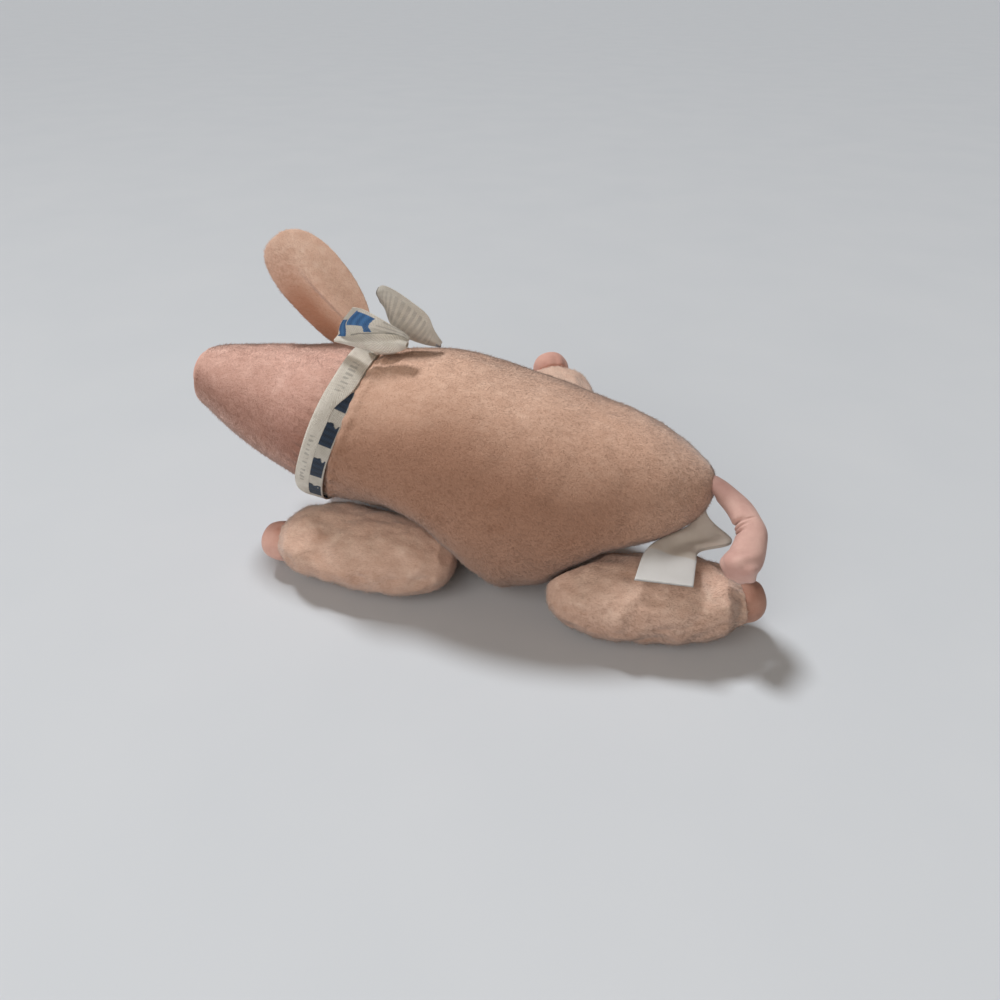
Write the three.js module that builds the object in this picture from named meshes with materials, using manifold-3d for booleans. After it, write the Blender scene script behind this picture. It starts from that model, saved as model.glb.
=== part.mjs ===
// A small floppy plush pig that lies on its belly: stuffed body and head, four pouch legs
// with smooth hoofs, two soft ears, a cloth tail, a ribbon tied round the neck and a blank
// folded label. Millimetres, +Z up, nose towards -X, the pig's left side towards -Y.
import * as THREE from 'three';
import { mergeVertices } from 'three/addons/utils/BufferGeometryUtils.js';
import Module from 'manifold-3d';

const wasm = await Module();
wasm.setup();

const degrees = THREE.MathUtils.degToRad;

// Cloth, gaps and the floor
const coverWall = 2;
const clothGap = 0.3;
const sweepGap = 0.8;
const footFlat = 0.5;
const cutSize = 240;
const weld = 0.0001;

// Body: a long bag whose belly touches the floor and whose two ends rise over the legs
const bodyFront = -74;
const bodyLength = 139.5;
const bodyRadius = 34.4;
const bodyCentreHeight = bodyRadius - footFlat;

// Head: a blunt cone from the neck to the snout
const headBack = -34;
const headLength = 70.8;
const neckRadius = 26;
const snoutCentreHeight = 58.4;
const snoutRadius = 6.4;
const snoutTilt = degrees(12);
const snoutPadThickness = 1.6;
const nostrilRadius = 1.1;
const nostrilSpacing = 6;

// Neck: where the tilted seam between head and body crosses the middle of the pig
const neckX = -53;
const neckHeight = 47;
const neckTilt = degrees(20);
const neckTwist = degrees(8);

// The floppy neck lets the face roll over to the pig's right, so every face piece follows it
const faceRoll = degrees(60);

// Eyes: small domes on the upper cheeks
const eyeX = -92;
const eyeSpread = degrees(13);
const eyeRadius = 2.4;
const eyeHeight = 1.2;

// Ears: flat leaves of plush with a lining on their inner face, sewn on either side of the
// crown. The left one stands, leans forward and shows its back to the pig's left, the right
// one lies forward beside the head
const earLength = 41;
const earWidth = 26;
const earThickness = 3;
const earCup = 3;
const earSunk = 3;
const earSpread = degrees(32);
const leftEarX = -51;
const rightEarX = -60;
const earLean = degrees(40);
const earDroop = degrees(2);
const earSeatLift = 1.4;
const liningThickness = 0.8;
const liningLengthShare = 0.74;
const liningWidthShare = 0.68;
const liningStartShare = 0.75;
const leftEarFold = degrees(25);
const rightEarLift = degrees(60);

// Legs: stuffed pouches, hinged where they are sewn to the belly
const legWidth = 32;
const legHeight = 26.5;
const forelegLength = 67;
const hindLegLength = 65.5;
const legTaper = 0.2;
const legFullness = 0.72;
const hoofPlaneShare = 0.87;
const hoofRadius = 6.8;
const hoofDroop = 3;
const hindHoofDroop = 1;
const hoofTurn = degrees(14);
const hoofAside = 1.5;
const foreHipX = -10;
const foreHipY = 22;
const hindHipX = 20;
const hindHipY = 27.5;
const hindHeading = degrees(10);
const splayedHeading = degrees(115);
const splayedLift = degrees(28);
const legSwing = degrees(60);
const legMouthRadius = 4;
const legMouthInset = 11;

// Tail: a cloth tube, slimmer by the taper at its root, that curls out and down to rest on
// the left hind leg
const tailRadius = 5.6;
const tailTaper = 2.5;
const tailRootX = 63;
const tailRootHeight = 42;
const tailReach = 13.5;
const tailSpread = 26;
const tailDrop = 13.2;
const tailSwing = degrees(60);

// Label: a tape caught in the seam under the tail
const labelLength = 30;
const labelThickness = 0.9;
const labelLift = degrees(15);

// Neck ribbon, its knot and its two cut tails
const ribbonBandWidth = 7;
const ribbonThickness = 1;
const ribbonSink = 0.5;
const grooveDepth = 10;
const knotBehind = 6.5;
const knotLength = 12;
const knotWidth = 8;
const knotHeight = 6;
const bowTailThickness = 0.9;
const bowTailWidth = 14;

// Facets
const bodySides = 28;
const bodyRings = 22;
const headSides = 24;
const headRings = 14;
const legSides = 20;
const legRings = 14;
const innerSides = 12;
const innerRings = 9;
const sweepSteps = 5;
const tailSteps = 18;

const up = new THREE.Vector3(0, 0, 1);
const mm = (x, y, z) => new THREE.Vector3(x, y, z);

// A closed geometry becomes a solid, and a solid becomes a geometry again
function solidOf(geometry) {
  const bare = geometry.clone();
  bare.deleteAttribute('normal');
  bare.deleteAttribute('uv');
  const merged = mergeVertices(bare, weld);
  return new wasm.Manifold(new wasm.Mesh({
    numProp: 3,
    vertProperties: merged.attributes.position.array,
    triVerts: merged.index.array,
  }));
}

function geometryOf(solid) {
  const mesh = solid.getMesh();
  const geometry = new THREE.BufferGeometry();
  geometry.setAttribute('position', new THREE.BufferAttribute(mesh.vertProperties, mesh.numProp));
  geometry.setIndex(new THREE.BufferAttribute(mesh.triVerts, 1));
  return geometry;
}

// A ball whose every point is moved by place(along, angle): along runs 0 to 1 from pole to pole
function form(sides, rings, place) {
  const ball = new THREE.SphereGeometry(1, sides, rings);
  const { position, uv } = ball.attributes;
  for (let i = 0; i < position.count; i += 1) {
    const spot = place(1 - uv.getY(i), uv.getX(i) * 2 * Math.PI);
    position.setXYZ(i, spot.x, spot.y, spot.z);
  }
  return ball;
}

// A unit box bent into shape by place(across, along, through), each from -0.5 to 0.5
function bentSlab(steps, place) {
  const slab = new THREE.BoxGeometry(1, 1, 1, steps.across, steps.along, 1);
  const { position } = slab.attributes;
  for (let i = 0; i < position.count; i += 1) {
    const spot = place(position.getX(i), position.getY(i), position.getZ(i));
    position.setXYZ(i, spot.x, spot.y, spot.z);
  }
  return slab;
}

// A large block that covers the side of a plane that its normal points to
function halfSpace(point, normal) {
  const block = new THREE.BoxGeometry(cutSize, cutSize, cutSize).translate(0, 0, cutSize / 2);
  const turn = new THREE.Quaternion().setFromUnitVectors(up, normal);
  block.applyQuaternion(turn);
  block.translate(point.x, point.y, point.z);
  return solidOf(block);
}

const aboveFloor = halfSpace(mm(0, 0, 0), up);

// The turn of a hinge by an angle
function turnAbout({ anchor, axis }, angle) {
  const back = new THREE.Matrix4().makeTranslation(-anchor.x, -anchor.y, -anchor.z);
  return new THREE.Matrix4().makeTranslation(anchor.x, anchor.y, anchor.z)
    .multiply(new THREE.Matrix4().makeRotationAxis(axis, angle))
    .multiply(back);
}

// All the space that a still neighbour takes, as a piece sees it while its hinge turns;
// home is the matrix that places the piece's own frame in the pig
function sweptBy(neighbour, hinge, home = new THREE.Matrix4()) {
  let swept = null;
  for (let i = 0; i <= sweepSteps; i += 1) {
    const angle = hinge.from + (i / sweepSteps) * (hinge.to - hinge.from);
    const seen = home.clone().invert().multiply(turnAbout(hinge, -angle));
    const copy = solidOf(neighbour.clone().applyMatrix4(seen));
    swept = swept ? swept.add(copy) : copy;
  }
  return swept;
}

// Stations along the body and the head. Each row is: place along, centre height, radius, and
// how deep the underside is beside that radius: the belly hangs between the legs
const bodyStationShares = [
  [0, 1.42, 0, 1], [0.025, 1.42, 0.4, 1], [0.09, 1.37, 0.7, 1], [0.175, 1.325, 0.755, 0.9],
  [0.245, 1.275, 0.81, 0.68], [0.315, 1.24, 0.875, 0.56], [0.385, 1.2, 0.935, 0.6],
  [0.455, 1.135, 0.975, 0.84], [0.525, 1.04, 1.005, 1], [0.595, 0.99, 0.99, 1],
  [0.67, 0.962, 0.945, 0.9], [0.74, 0.975, 0.86, 0.62], [0.81, 1, 0.755, 0.46],
  [0.88, 1.035, 0.615, 0.48], [0.95, 1.1, 0.385, 0.6], [0.985, 1.16, 0.2, 0.8],
  [1, 1.19, 0, 1],
];
const headStationShares = [
  [0, 0.76, 0, 1], [0.03, 0.76, 0.5, 1], [0.1, 0.765, 0.95, 1], [0.2, 0.775, 1, 1],
  [0.3, 0.79, 0.96, 1], [0.4, 0.81, 0.89, 1], [0.5, 0.835, 0.8, 1.02], [0.6, 0.862, 0.725, 1.06],
  [0.72, 0.905, 0.605, 1.26], [0.84, 0.95, 0.475, 1.39], [0.93, 0.98, 0.365, 1.42],
  [1.02, 1, 0.27, 1.2], [1.04, 1.002, 0, 1],
];

// A smooth run of stations: each one has its place x, the height of its middle, its radius and
// the depth of its underside
function spineOf(shares, start, length, height, width) {
  const middles = new THREE.CatmullRomCurve3(shares.map(
    ([along, middle, radius]) => mm(start + along * length, middle * height, radius * width),
  ), false, 'centripetal');
  const depths = new THREE.CatmullRomCurve3(shares.map((row) => mm(row[3], 0, 0)));
  const at = (along) => {
    const { x, y, z } = middles.getPoint(along);
    return { x, height: y, radius: Math.max(z, 0), depth: Math.max(z, 0) * depths.getPoint(along).x };
  };
  return { at, first: at(0).x, last: at(1).x };
}
const bodySpine = spineOf(bodyStationShares, bodyFront, bodyLength, bodyCentreHeight, bodyRadius);
const headSpine = spineOf(headStationShares, headBack, -headLength, snoutCentreHeight, neckRadius);

// A point on the skin round a spine, grown (or shrunk) by extra; angle 0 is the top
function onSpine(spine, along, angle, extra) {
  const station = spine.at(along);
  const middle = (spine.first + spine.last) / 2;
  const half = Math.abs(spine.last - middle);
  const x = middle + (station.x - middle) * (1 + extra / half);
  const grown = (size) => (size > 0 ? Math.max(size + extra, 0) : 0);
  const upright = Math.cos(angle) > 0 ? grown(station.radius) : grown(station.depth);
  return mm(x, grown(station.radius) * Math.sin(angle), station.height + upright * Math.cos(angle));
}

// The station whose place along X is x
function stationAt(spine, x) {
  const towards = Math.sign(spine.last - spine.first);
  let low = 0;
  let high = 1;
  for (let step = 0; step < 30; step += 1) {
    const middle = (low + high) / 2;
    if ((spine.at(middle).x - x) * towards < 0) {
      low = middle;
    } else {
      high = middle;
    }
  }
  return spine.at(low);
}

const bodyShape = (sides, rings, extra) => form(sides, rings,
  (along, angle) => onSpine(bodySpine, along, angle, extra));
// The head runs the other way along X, so its angle turns the other way too
const headShape = (sides, rings, extra) => form(sides, rings,
  (along, angle) => onSpine(headSpine, along, -angle, extra));
const bodyForm = (sides, rings, extra) => solidOf(bodyShape(sides, rings, extra));
const headForm = (sides, rings, extra) => solidOf(headShape(sides, rings, extra));
const grownBody = bodyShape(bodySides, bodyRings, clothGap);
const grownHead = headShape(headSides, headRings, clothGap);

// The neck seam
const neckPoint = mm(neckX, 0, neckHeight);
const neckForward = mm(-Math.cos(neckTilt), 0, Math.sin(neckTilt));
const neckAlongSeam = mm(Math.sin(neckTilt), 0, Math.cos(neckTilt));
const offNeck = (distance) => neckPoint.clone().addScaledVector(neckForward, distance);
const headSide = (gap) => halfSpace(offNeck(gap / 2), neckForward);
const bodySide = (gap) => halfSpace(offNeck(-gap / 2), neckForward.clone().negate());

// How far the body's skin lies from the neck point, in the seam's plane, at an angle from the top
function neckReach(angle) {
  const direction = neckAlongSeam.clone().multiplyScalar(Math.cos(angle));
  direction.y = Math.sin(angle);
  let inside = 0;
  let outside = 2 * bodyRadius;
  for (let step = 0; step < 30; step += 1) {
    const middle = (inside + outside) / 2;
    const spot = neckPoint.clone().addScaledVector(direction, middle);
    const station = stationAt(bodySpine, spot.x);
    const rise = spot.z - station.height;
    const upright = rise > 0 ? station.radius : station.depth;
    if (Math.hypot(spot.y / station.radius, rise / upright) < 1) {
      inside = middle;
    } else {
      outside = middle;
    }
  }
  return { direction, reach: inside };
}

// A band round the neck between two depths, seen from the skin
function neckBand(inner, outer, width) {
  const ring = new THREE.TorusGeometry(2, 1, 4, 40);
  const { position, uv } = ring.attributes;
  for (let i = 0; i < position.count; i += 1) {
    const { direction, reach } = neckReach(-uv.getX(i) * 2 * Math.PI);
    const corner = Math.round(uv.getY(i) * 4) % 4;
    const depth = corner === 0 || corner === 3 ? outer : inner;
    const side = corner < 2 ? 0.5 : -0.5;
    const spot = neckPoint.clone()
      .addScaledVector(direction, reach + depth)
      .addScaledVector(neckForward, -side * width);
    position.setXYZ(i, spot.x, spot.y, spot.z);
  }
  return ring;
}

const ribbonSolid = solidOf(neckBand(-ribbonSink, ribbonThickness - ribbonSink, ribbonBandWidth));
const ribbonGroove = neckBand(-ribbonSink - clothGap, grooveDepth, ribbonBandWidth + 2 * clothGap);
const neckHinge = { anchor: neckPoint, axis: neckForward, from: -neckTwist, to: neckTwist };

// Body: a cover that is open at the neck, and the filling inside it
function makeBody() {
  const cover = bodyForm(bodySides, bodyRings, 0)
    .intersect(bodySide(clothGap))
    .subtract(bodyForm(innerSides + 4, innerRings + 3, -coverWall))
    .subtract(solidOf(ribbonGroove))
    .intersect(aboveFloor);
  const filling = bodyForm(innerSides + 4, innerRings + 3, -coverWall - clothGap)
    .intersect(bodySide(2 * clothGap));
  return { cover, filling };
}

// Snout: the flat end of the head, where the pad is sewn on
const snoutForward = mm(-Math.cos(snoutTilt), 0, Math.sin(snoutTilt));
const snoutUp = mm(Math.sin(snoutTilt), 0, Math.cos(snoutTilt));
const snoutX = headBack - headLength + snoutPadThickness + coverWall;
const snoutPoint = mm(snoutX, 0, snoutCentreHeight);
const behindSnout = (depth) => halfSpace(
  snoutPoint.clone().addScaledVector(snoutForward, -depth), snoutForward.clone().negate(),
);

// Head: a cover that is open at the neck, and the filling inside it
function makeHead() {
  const cover = headForm(headSides, headRings, 0)
    .intersect(headSide(clothGap))
    .intersect(behindSnout(0))
    .subtract(headForm(innerSides, innerRings, -coverWall).intersect(behindSnout(coverWall)))
    .subtract(sweptBy(ribbonGroove, neckHinge));
  const filling = headForm(innerSides, innerRings, -coverWall - clothGap)
    .intersect(headSide(2 * clothGap))
    .intersect(behindSnout(coverWall + clothGap));
  return { cover, filling };
}

// The frame of a face piece that sits on the head at x, turned by angle from the top of the head
function onHead(x, angle, lift) {
  const here = stationAt(headSpine, x);
  const back = stationAt(headSpine, x + eyeRadius);
  const slope = (back.radius - here.radius) / eyeRadius;
  const rise = (back.height - here.height) / eyeRadius;
  const out = mm(-slope - rise * Math.cos(angle), Math.sin(angle), Math.cos(angle)).normalize();
  const spot = mm(
    x, here.radius * Math.sin(angle), here.height + here.radius * Math.cos(angle),
  );
  return { spot: spot.addScaledVector(out, lift), out };
}

// Eye: a dome with a flat back, turned on its axis
function makeEye(side) {
  const { spot, out } = onHead(eyeX, faceRoll + side * eyeSpread, clothGap);
  const outline = [new THREE.Vector2(0, 0), new THREE.Vector2(eyeRadius, 0)];
  const steps = 4;
  for (let i = 1; i <= steps; i += 1) {
    const turn = (i / steps) * (Math.PI / 2);
    outline.push(new THREE.Vector2(eyeRadius * Math.cos(turn), eyeHeight * Math.sin(turn)));
  }
  outline[outline.length - 1].x = 0;
  const dome = new THREE.LatheGeometry(outline, 12);
  dome.applyQuaternion(new THREE.Quaternion().setFromUnitVectors(mm(0, 1, 0), out));
  return dome.translate(spot.x, spot.y, spot.z);
}

// Snout pad: a thick disc with a soft rim, and two short nostril stitches on it
function makeSnoutPad() {
  const rim = snoutPadThickness / 3;
  const outline = [
    new THREE.Vector2(0, 0), new THREE.Vector2(snoutRadius - rim, 0),
    new THREE.Vector2(snoutRadius, rim), new THREE.Vector2(snoutRadius, snoutPadThickness - rim),
    new THREE.Vector2(snoutRadius - rim, snoutPadThickness), new THREE.Vector2(0, snoutPadThickness),
  ];
  const pad = new THREE.LatheGeometry(outline, 20);
  return seatOnSnout(pad, 0, clothGap);
}

function makeNostril(side) {
  const stitch = new THREE.SphereGeometry(1, 8, 6);
  stitch.scale(nostrilRadius, nostrilRadius / 2, 2 * nostrilRadius);
  const lift = snoutPadThickness + 2 * clothGap + nostrilRadius / 2;
  return seatOnSnout(stitch, side * (nostrilSpacing / 2), lift);
}

// Lays a piece made along +Y against the snout, moved sideways and lifted off it
function seatOnSnout(piece, sideways, lift) {
  const turn = new THREE.Quaternion().setFromUnitVectors(mm(0, 1, 0), snoutForward);
  const across = mm(0, Math.cos(faceRoll), 0).addScaledVector(snoutUp, -Math.sin(faceRoll));
  const spot = snoutPoint.clone()
    .addScaledVector(snoutForward, lift)
    .addScaledVector(across, sideways);
  piece.applyQuaternion(turn);
  return piece.translate(spot.x, spot.y, spot.z);
}

// Ear: a leaf that grows from its root along axis, across its width, and cups towards face
function leaf(pose, size) {
  const { root, axis, face } = pose;
  const across = new THREE.Vector3().crossVectors(face, axis);
  return form(size.sides, size.rings, (along, angle) => {
    const swell = Math.sin(Math.PI * along) ** 0.8 * (0.75 + along / 2);
    const reach = (1 - Math.cos(Math.PI * along)) / 2;
    const sideways = Math.sin(angle) * swell * size.width / 2;
    const cup = earCup * (2 * sideways / earWidth) ** 2;
    const through = Math.cos(angle) * Math.min(swell, 1) * size.thickness / 2;
    return root.clone()
      .addScaledVector(axis, size.start + reach * size.length)
      .addScaledVector(across, sideways)
      .addScaledVector(face, through + size.lift + cup);
  });
}

// The plush leaf starts inside the head and is cut off by it and clear of the ribbon,
// wherever its hinge turns it
function makeEar(pose) {
  const plush = solidOf(leaf(pose, {
    sides: 16,
    rings: 12,
    start: -earSunk,
    length: earLength + earSunk,
    width: earWidth,
    thickness: earThickness,
    lift: 0,
  }))
    .subtract(sweptBy(grownHead, pose.hinge))
    .subtract(sweptBy(ribbonGroove, pose.hinge));
  const lining = leaf(pose, {
    sides: 12,
    rings: 8,
    start: earLength * (1 - liningLengthShare) * liningStartShare,
    length: earLength * liningLengthShare,
    width: earWidth * liningWidthShare,
    thickness: liningThickness,
    lift: (earThickness + liningThickness) / 2 + 2 * clothGap,
  });
  return { plush, lining };
}

// Where an ear is sewn on, which way it lies and what it turns about
function earPose(x, side, lift, axis, face, from, to) {
  const root = onHead(x, faceRoll + side * earSpread, lift).spot;
  const hinge = { anchor: root, axis: new THREE.Vector3().crossVectors(axis, face), from, to };
  return { root, axis, face, hinge };
}
const ears = {
  left: earPose(
    leftEarX, -1, clothGap, mm(-Math.sin(earLean), 0, Math.cos(earLean)), mm(0, 1, 0),
    -leftEarFold, leftEarFold,
  ),
  right: earPose(
    rightEarX, 1, earSeatLift, mm(-Math.cos(earDroop), Math.sin(earDroop), 0),
    mm(-Math.sin(earDroop), -Math.cos(earDroop), 0), -rightEarLift, 0,
  ),
};

// Leg: a pouch along +X from its hinge, lying on the floor; side is -1 on the left, 1 on the right
function pouch(length, extra, sides, rings) {
  const halfWidth = legWidth / 2 + extra;
  const halfHeight = legHeight / 2 + extra;
  return solidOf(form(sides, rings, (along, angle) => {
    const reach = (1 - Math.cos(Math.PI * along)) / 2;
    const swell = Math.sin(Math.PI * along) ** legFullness * (1 + legTaper * (0.5 - reach));
    return mm(
      -extra + reach * (length + 2 * extra),
      halfWidth * swell * Math.sin(angle),
      legHeight / 2 - footFlat + halfHeight * swell * Math.cos(angle),
    );
  }));
}

// The frame of a leg: it stands at its hip, turned to its heading, and lifted at its tip
function legHolder(leg) {
  const holder = new THREE.Group();
  holder.position.set(leg.hipX, leg.hipY, 0);
  holder.rotation.set(0, -leg.lift, leg.heading, 'ZYX');
  holder.updateMatrix();
  return holder;
}

function makeLeg(leg, home) {
  const hoofWay = mm(Math.cos(leg.hoofTurn), Math.sin(leg.hoofTurn), 0);
  const hoofSeat = mm(
    leg.length * hoofPlaneShare, leg.hoofAside, legHeight / 2 - footFlat + leg.hoofRise,
  );
  const behindHoof = (depth) => halfSpace(
    hoofSeat.clone().addScaledVector(hoofWay, -depth), hoofWay.clone().negate(),
  );
  const hinge = { anchor: mm(leg.hipX, leg.hipY, 0), axis: up, from: leg.swingFrom, to: leg.swingTo };
  const besideBody = (extra) => sweptBy(bodyShape(bodySides, bodyRings, extra), hinge, home);
  const mouth = new THREE.CylinderGeometry(legMouthRadius, legMouthRadius, legWidth, 10);
  const inwards = -leg.side * Math.sign(Math.cos(leg.heading));
  mouth.translate(legMouthInset, inwards * legWidth / 2, legHeight / 2);
  const cavity = pouch(leg.length, -coverWall, innerSides, innerRings)
    .intersect(behindHoof(coverWall))
    .subtract(besideBody(coverWall + sweepGap));
  let cover = pouch(leg.length, 0, legSides, legRings)
    .intersect(behindHoof(0))
    .subtract(besideBody(sweepGap))
    .subtract(cavity)
    .subtract(solidOf(mouth));
  if (leg.lift === 0) {
    cover = cover.intersect(aboveFloor);
  }
  const filling = pouch(leg.length, -coverWall - clothGap, innerSides, innerRings)
    .intersect(behindHoof(coverWall + clothGap))
    .subtract(besideBody(coverWall + sweepGap + clothGap));
  return { cover, filling, hoof: makeHoof(leg, hoofSeat) };
}

// Hoof: a short round cap of smooth cloth on the flat end of a leg
function makeHoof(leg, seat) {
  const length = leg.length * (1 - hoofPlaneShare);
  const outlineShares = [[0, 0], [0.92, 0], [1, 0.2], [0.98, 0.5], [0.78, 0.82], [0.4, 0.97], [0, 1]];
  const cap = new THREE.LatheGeometry(outlineShares.map(
    ([radius, along]) => new THREE.Vector2(radius * hoofRadius, along * length),
  ), 14);
  cap.rotateZ(-Math.PI / 2);
  cap.translate(clothGap, 0, 0);
  cap.rotateZ(leg.hoofTurn);
  return cap.translate(seat.x, seat.y, seat.z);
}

const legs = [
  {
    name: 'left_foreleg', side: -1, length: forelegLength, hipX: foreHipX, hipY: -foreHipY,
    heading: Math.PI, lift: 0, swingFrom: 0, swingTo: legSwing,
    hoofTurn: 0, hoofAside: 0, hoofRise: -hoofDroop,
  },
  {
    name: 'right_foreleg', side: 1, length: forelegLength, hipX: foreHipX, hipY: foreHipY,
    heading: Math.PI, lift: 0, swingFrom: -legSwing, swingTo: 0,
    hoofTurn: 0, hoofAside: 0, hoofRise: -hoofDroop,
  },
  {
    name: 'left_hind_leg', side: -1, length: hindLegLength, hipX: hindHipX, hipY: -hindHipY,
    heading: hindHeading, lift: 0, swingFrom: -legSwing, swingTo: 0,
    hoofTurn, hoofAside, hoofRise: -hindHoofDroop,
  },
  {
    name: 'right_hind_leg', side: 1, length: hindLegLength, hipX: hindHipX, hipY: hindHipY,
    heading: splayedHeading, lift: splayedLift, swingFrom: -legSwing, swingTo: 0,
    hoofTurn: 0, hoofAside: 0, hoofRise: 0,
  },
];

// Tail: a tube along a curl, from the rump down onto the left hind leg. Each row is its place
// behind, to the left of and below the root, in shares of the curl's reach, spread and drop
const tailShares = [
  [0, 0, 0], [0.34, 0.13, 0.07], [0.67, 0.26, 0.21], [0.89, 0.41, 0.38], [1, 0.56, 0.55],
  [0.95, 0.72, 0.79], [0.74, 1, 1],
];
const tailRoot = mm(tailRootX, 0, tailRootHeight);
const tailPath = new THREE.CatmullRomCurve3(tailShares.map(
  ([back, left, down]) => mm(back * tailReach, -left * tailSpread, -down * tailDrop).add(tailRoot),
));
const tailHinge = { anchor: tailRoot, axis: up, from: 0, to: tailSwing };
function makeTail() {
  const section = new THREE.Shape().absarc(0, 0, tailRadius, 0, 2 * Math.PI);
  const tube = new THREE.ExtrudeGeometry(section, {
    steps: tailSteps, curveSegments: 6, bevelEnabled: false, extrudePath: tailPath,
  });
  const middles = tailPath.getSpacedPoints(tailSteps);
  const { position } = tube.attributes;
  for (let i = 0; i < position.count; i += 1) {
    const spot = mm(position.getX(i), position.getY(i), position.getZ(i));
    const gaps = middles.map((middle) => middle.distanceTo(spot));
    const nearest = gaps.indexOf(Math.min(...gaps));
    const slimmed = (tailTaper / tailRadius) * (1 - nearest / tailSteps);
    spot.lerp(middles[nearest], slimmed);
    position.setXYZ(i, spot.x, spot.y, spot.z);
  }
  return solidOf(tube).subtract(sweptBy(grownBody, tailHinge));
}

// Label: a strip that leaves the seam under the tail and ends in a fold above the left hind
// leg. Each row is a place on one edge behind, to the left of and below the tail's root, in
// shares of the label's length
const labelEdgeShares = {
  left: [[0, -0.1, 0.12], [-0.12, -0.3, 0.33], [-0.34, -0.53, 0.36], [-0.5, -0.77, 0.38]],
  right: [[-0.02, -0.1, 0.36], [0.3, -0.3, 0.46], [0, -0.53, 0.47], [-0.02, -0.77, 0.44]],
};
const labelFoldShares = { left: [-0.56, -1.08], right: [-0.02, -1.04] };
const labelRestHeight = legHeight - footFlat + 2 * clothGap + labelThickness / 2;
const labelHinge = {
  anchor: tailRoot.clone().sub(mm(0, labelLength / 6, labelLength / 4)),
  axis: mm(-1, 0, 0),
  from: 0,
  to: labelLift,
};
function labelEdge(side) {
  const [foldBack, foldLeft] = labelFoldShares[side];
  const spots = labelEdgeShares[side].map(([back, left, down]) => mm(
    back * labelLength, left * labelLength, -down * labelLength,
  ).add(tailRoot));
  spots.push(mm(
    tailRoot.x + foldBack * labelLength, tailRoot.y + foldLeft * labelLength, labelRestHeight,
  ));
  return new THREE.CatmullRomCurve3(spots);
}
function makeLabel() {
  const [left, right] = [labelEdge('left'), labelEdge('right')];
  const strip = bentSlab({ across: 3, along: 10 }, (across, along, through) => {
    const spot = right.getPoint(along + 0.5).lerp(left.getPoint(along + 0.5), across + 0.5);
    spot.z += through * labelThickness;
    return spot;
  });
  return solidOf(strip).subtract(sweptBy(grownBody, labelHinge));
}

// Ribbon bow on top of the neck: a knot and two tails with slanting ends
const neckTop = neckReach(0);
const knotX = neckX + neckTop.direction.x * neckTop.reach + knotBehind;
const underKnot = stationAt(bodySpine, knotX);
const knotSpot = mm(knotX, 0, underKnot.height + underKnot.radius + clothGap + knotHeight / 2);
function makeKnot() {
  const knot = new THREE.SphereGeometry(1, 12, 8);
  knot.scale(knotLength / 2, knotWidth / 2, knotHeight / 2);
  return knot.translate(knotSpot.x, knotSpot.y, knotSpot.z);
}

// A thin upright piece whose outline is drawn in shares of the ribbon's width, from the knot
function bowTail(outlineShares, offset) {
  const outline = new THREE.Shape(outlineShares.map(
    ([right, rise]) => new THREE.Vector2(right * bowTailWidth, rise * bowTailWidth),
  ));
  const sheet = new THREE.ExtrudeGeometry(outline, { depth: bowTailThickness, bevelEnabled: false });
  sheet.rotateX(Math.PI / 2);
  return sheet.translate(knotSpot.x + offset.x, knotSpot.y + offset.y, knotSpot.z + offset.z);
}
const leftTailShares = [
  [0.8, 0.22], [0.7, 0.35], [0.3, 0.4], [-0.05, 0.66], [-0.34, 0.82], [-0.62, 0.8],
  [-0.96, 0.24], [-0.94, 0.04], [-0.3, -0.09], [0.13, -0.1], [0.55, 0.05],
];
const rightTailShares = [
  [-0.2, 1.02], [-0.16, 1.14], [-0.02, 1.2], [0.2, 1.12], [0.6, 0.87], [0.92, 0.61],
  [1.05, 0.32], [1.26, 0.05], [1.22, -0.1], [0.75, -0.08], [0.46, 0], [0.13, 0.19],
  [-0.01, 0.44], [-0.04, 0.7], [-0.17, 0.74],
];
const leftTailPlace = mm(0, -knotWidth / 2 - clothGap, 0);
const rightTailPlace = mm(0, knotWidth / 2 + bowTailThickness + clothGap, 0);

// The whole pig
const plush = { color: 0xcf9f86, roughness: 0.95, metalness: 0 };
const smoothPink = { color: 0xd9a294, roughness: 0.7, metalness: 0 };
const ribbonCloth = { color: 0xd9d6c8, roughness: 0.8, metalness: 0 };
const stuffing = { color: 0xf2f0ea, roughness: 1, metalness: 0 };
const pellets = { color: 0xe8e6e0, roughness: 0.5, metalness: 0 };
const black = { color: 0x17120f, roughness: 0.15, metalness: 0 };
const tape = { color: 0xf1f0ec, roughness: 0.6, metalness: 0 };

const pig = new THREE.Group();
function addPiece(name, shape, finish, holder = pig) {
  const geometry = shape.getMesh ? geometryOf(shape) : shape;
  const piece = new THREE.Mesh(geometry, new THREE.MeshStandardMaterial(finish));
  piece.name = name;
  holder.add(piece);
}

const body = makeBody();
addPiece('body_cover', body.cover, plush);
addPiece('body_filling', body.filling, stuffing);
const head = makeHead();
addPiece('head_cover', head.cover, plush);
addPiece('head_filling', head.filling, stuffing);
addPiece('snout_pad', makeSnoutPad(), smoothPink);
for (const [name, side] of [['left', -1], ['right', 1]]) {
  addPiece(`${name}_eye`, makeEye(side), black);
  addPiece(`${name}_nostril`, makeNostril(side), black);
}
for (const [side, pose] of Object.entries(ears)) {
  const ear = makeEar(pose);
  addPiece(`${side}_ear`, ear.plush, plush);
  addPiece(`${side}_ear_lining`, ear.lining, smoothPink);
}
for (const leg of legs) {
  const holder = legHolder(leg);
  const { cover, filling, hoof } = makeLeg(leg, holder.matrix);
  addPiece(`${leg.name}_cover`, cover, plush, holder);
  addPiece(`${leg.name}_pellets`, filling, pellets, holder);
  addPiece(`${leg.name}_hoof`, hoof, smoothPink, holder);
  pig.add(holder);
}
addPiece('tail', makeTail(), smoothPink);
addPiece('label', makeLabel(), tape);
addPiece('neck_ribbon', ribbonSolid, ribbonCloth);
addPiece('ribbon_knot', makeKnot(), ribbonCloth);
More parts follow.
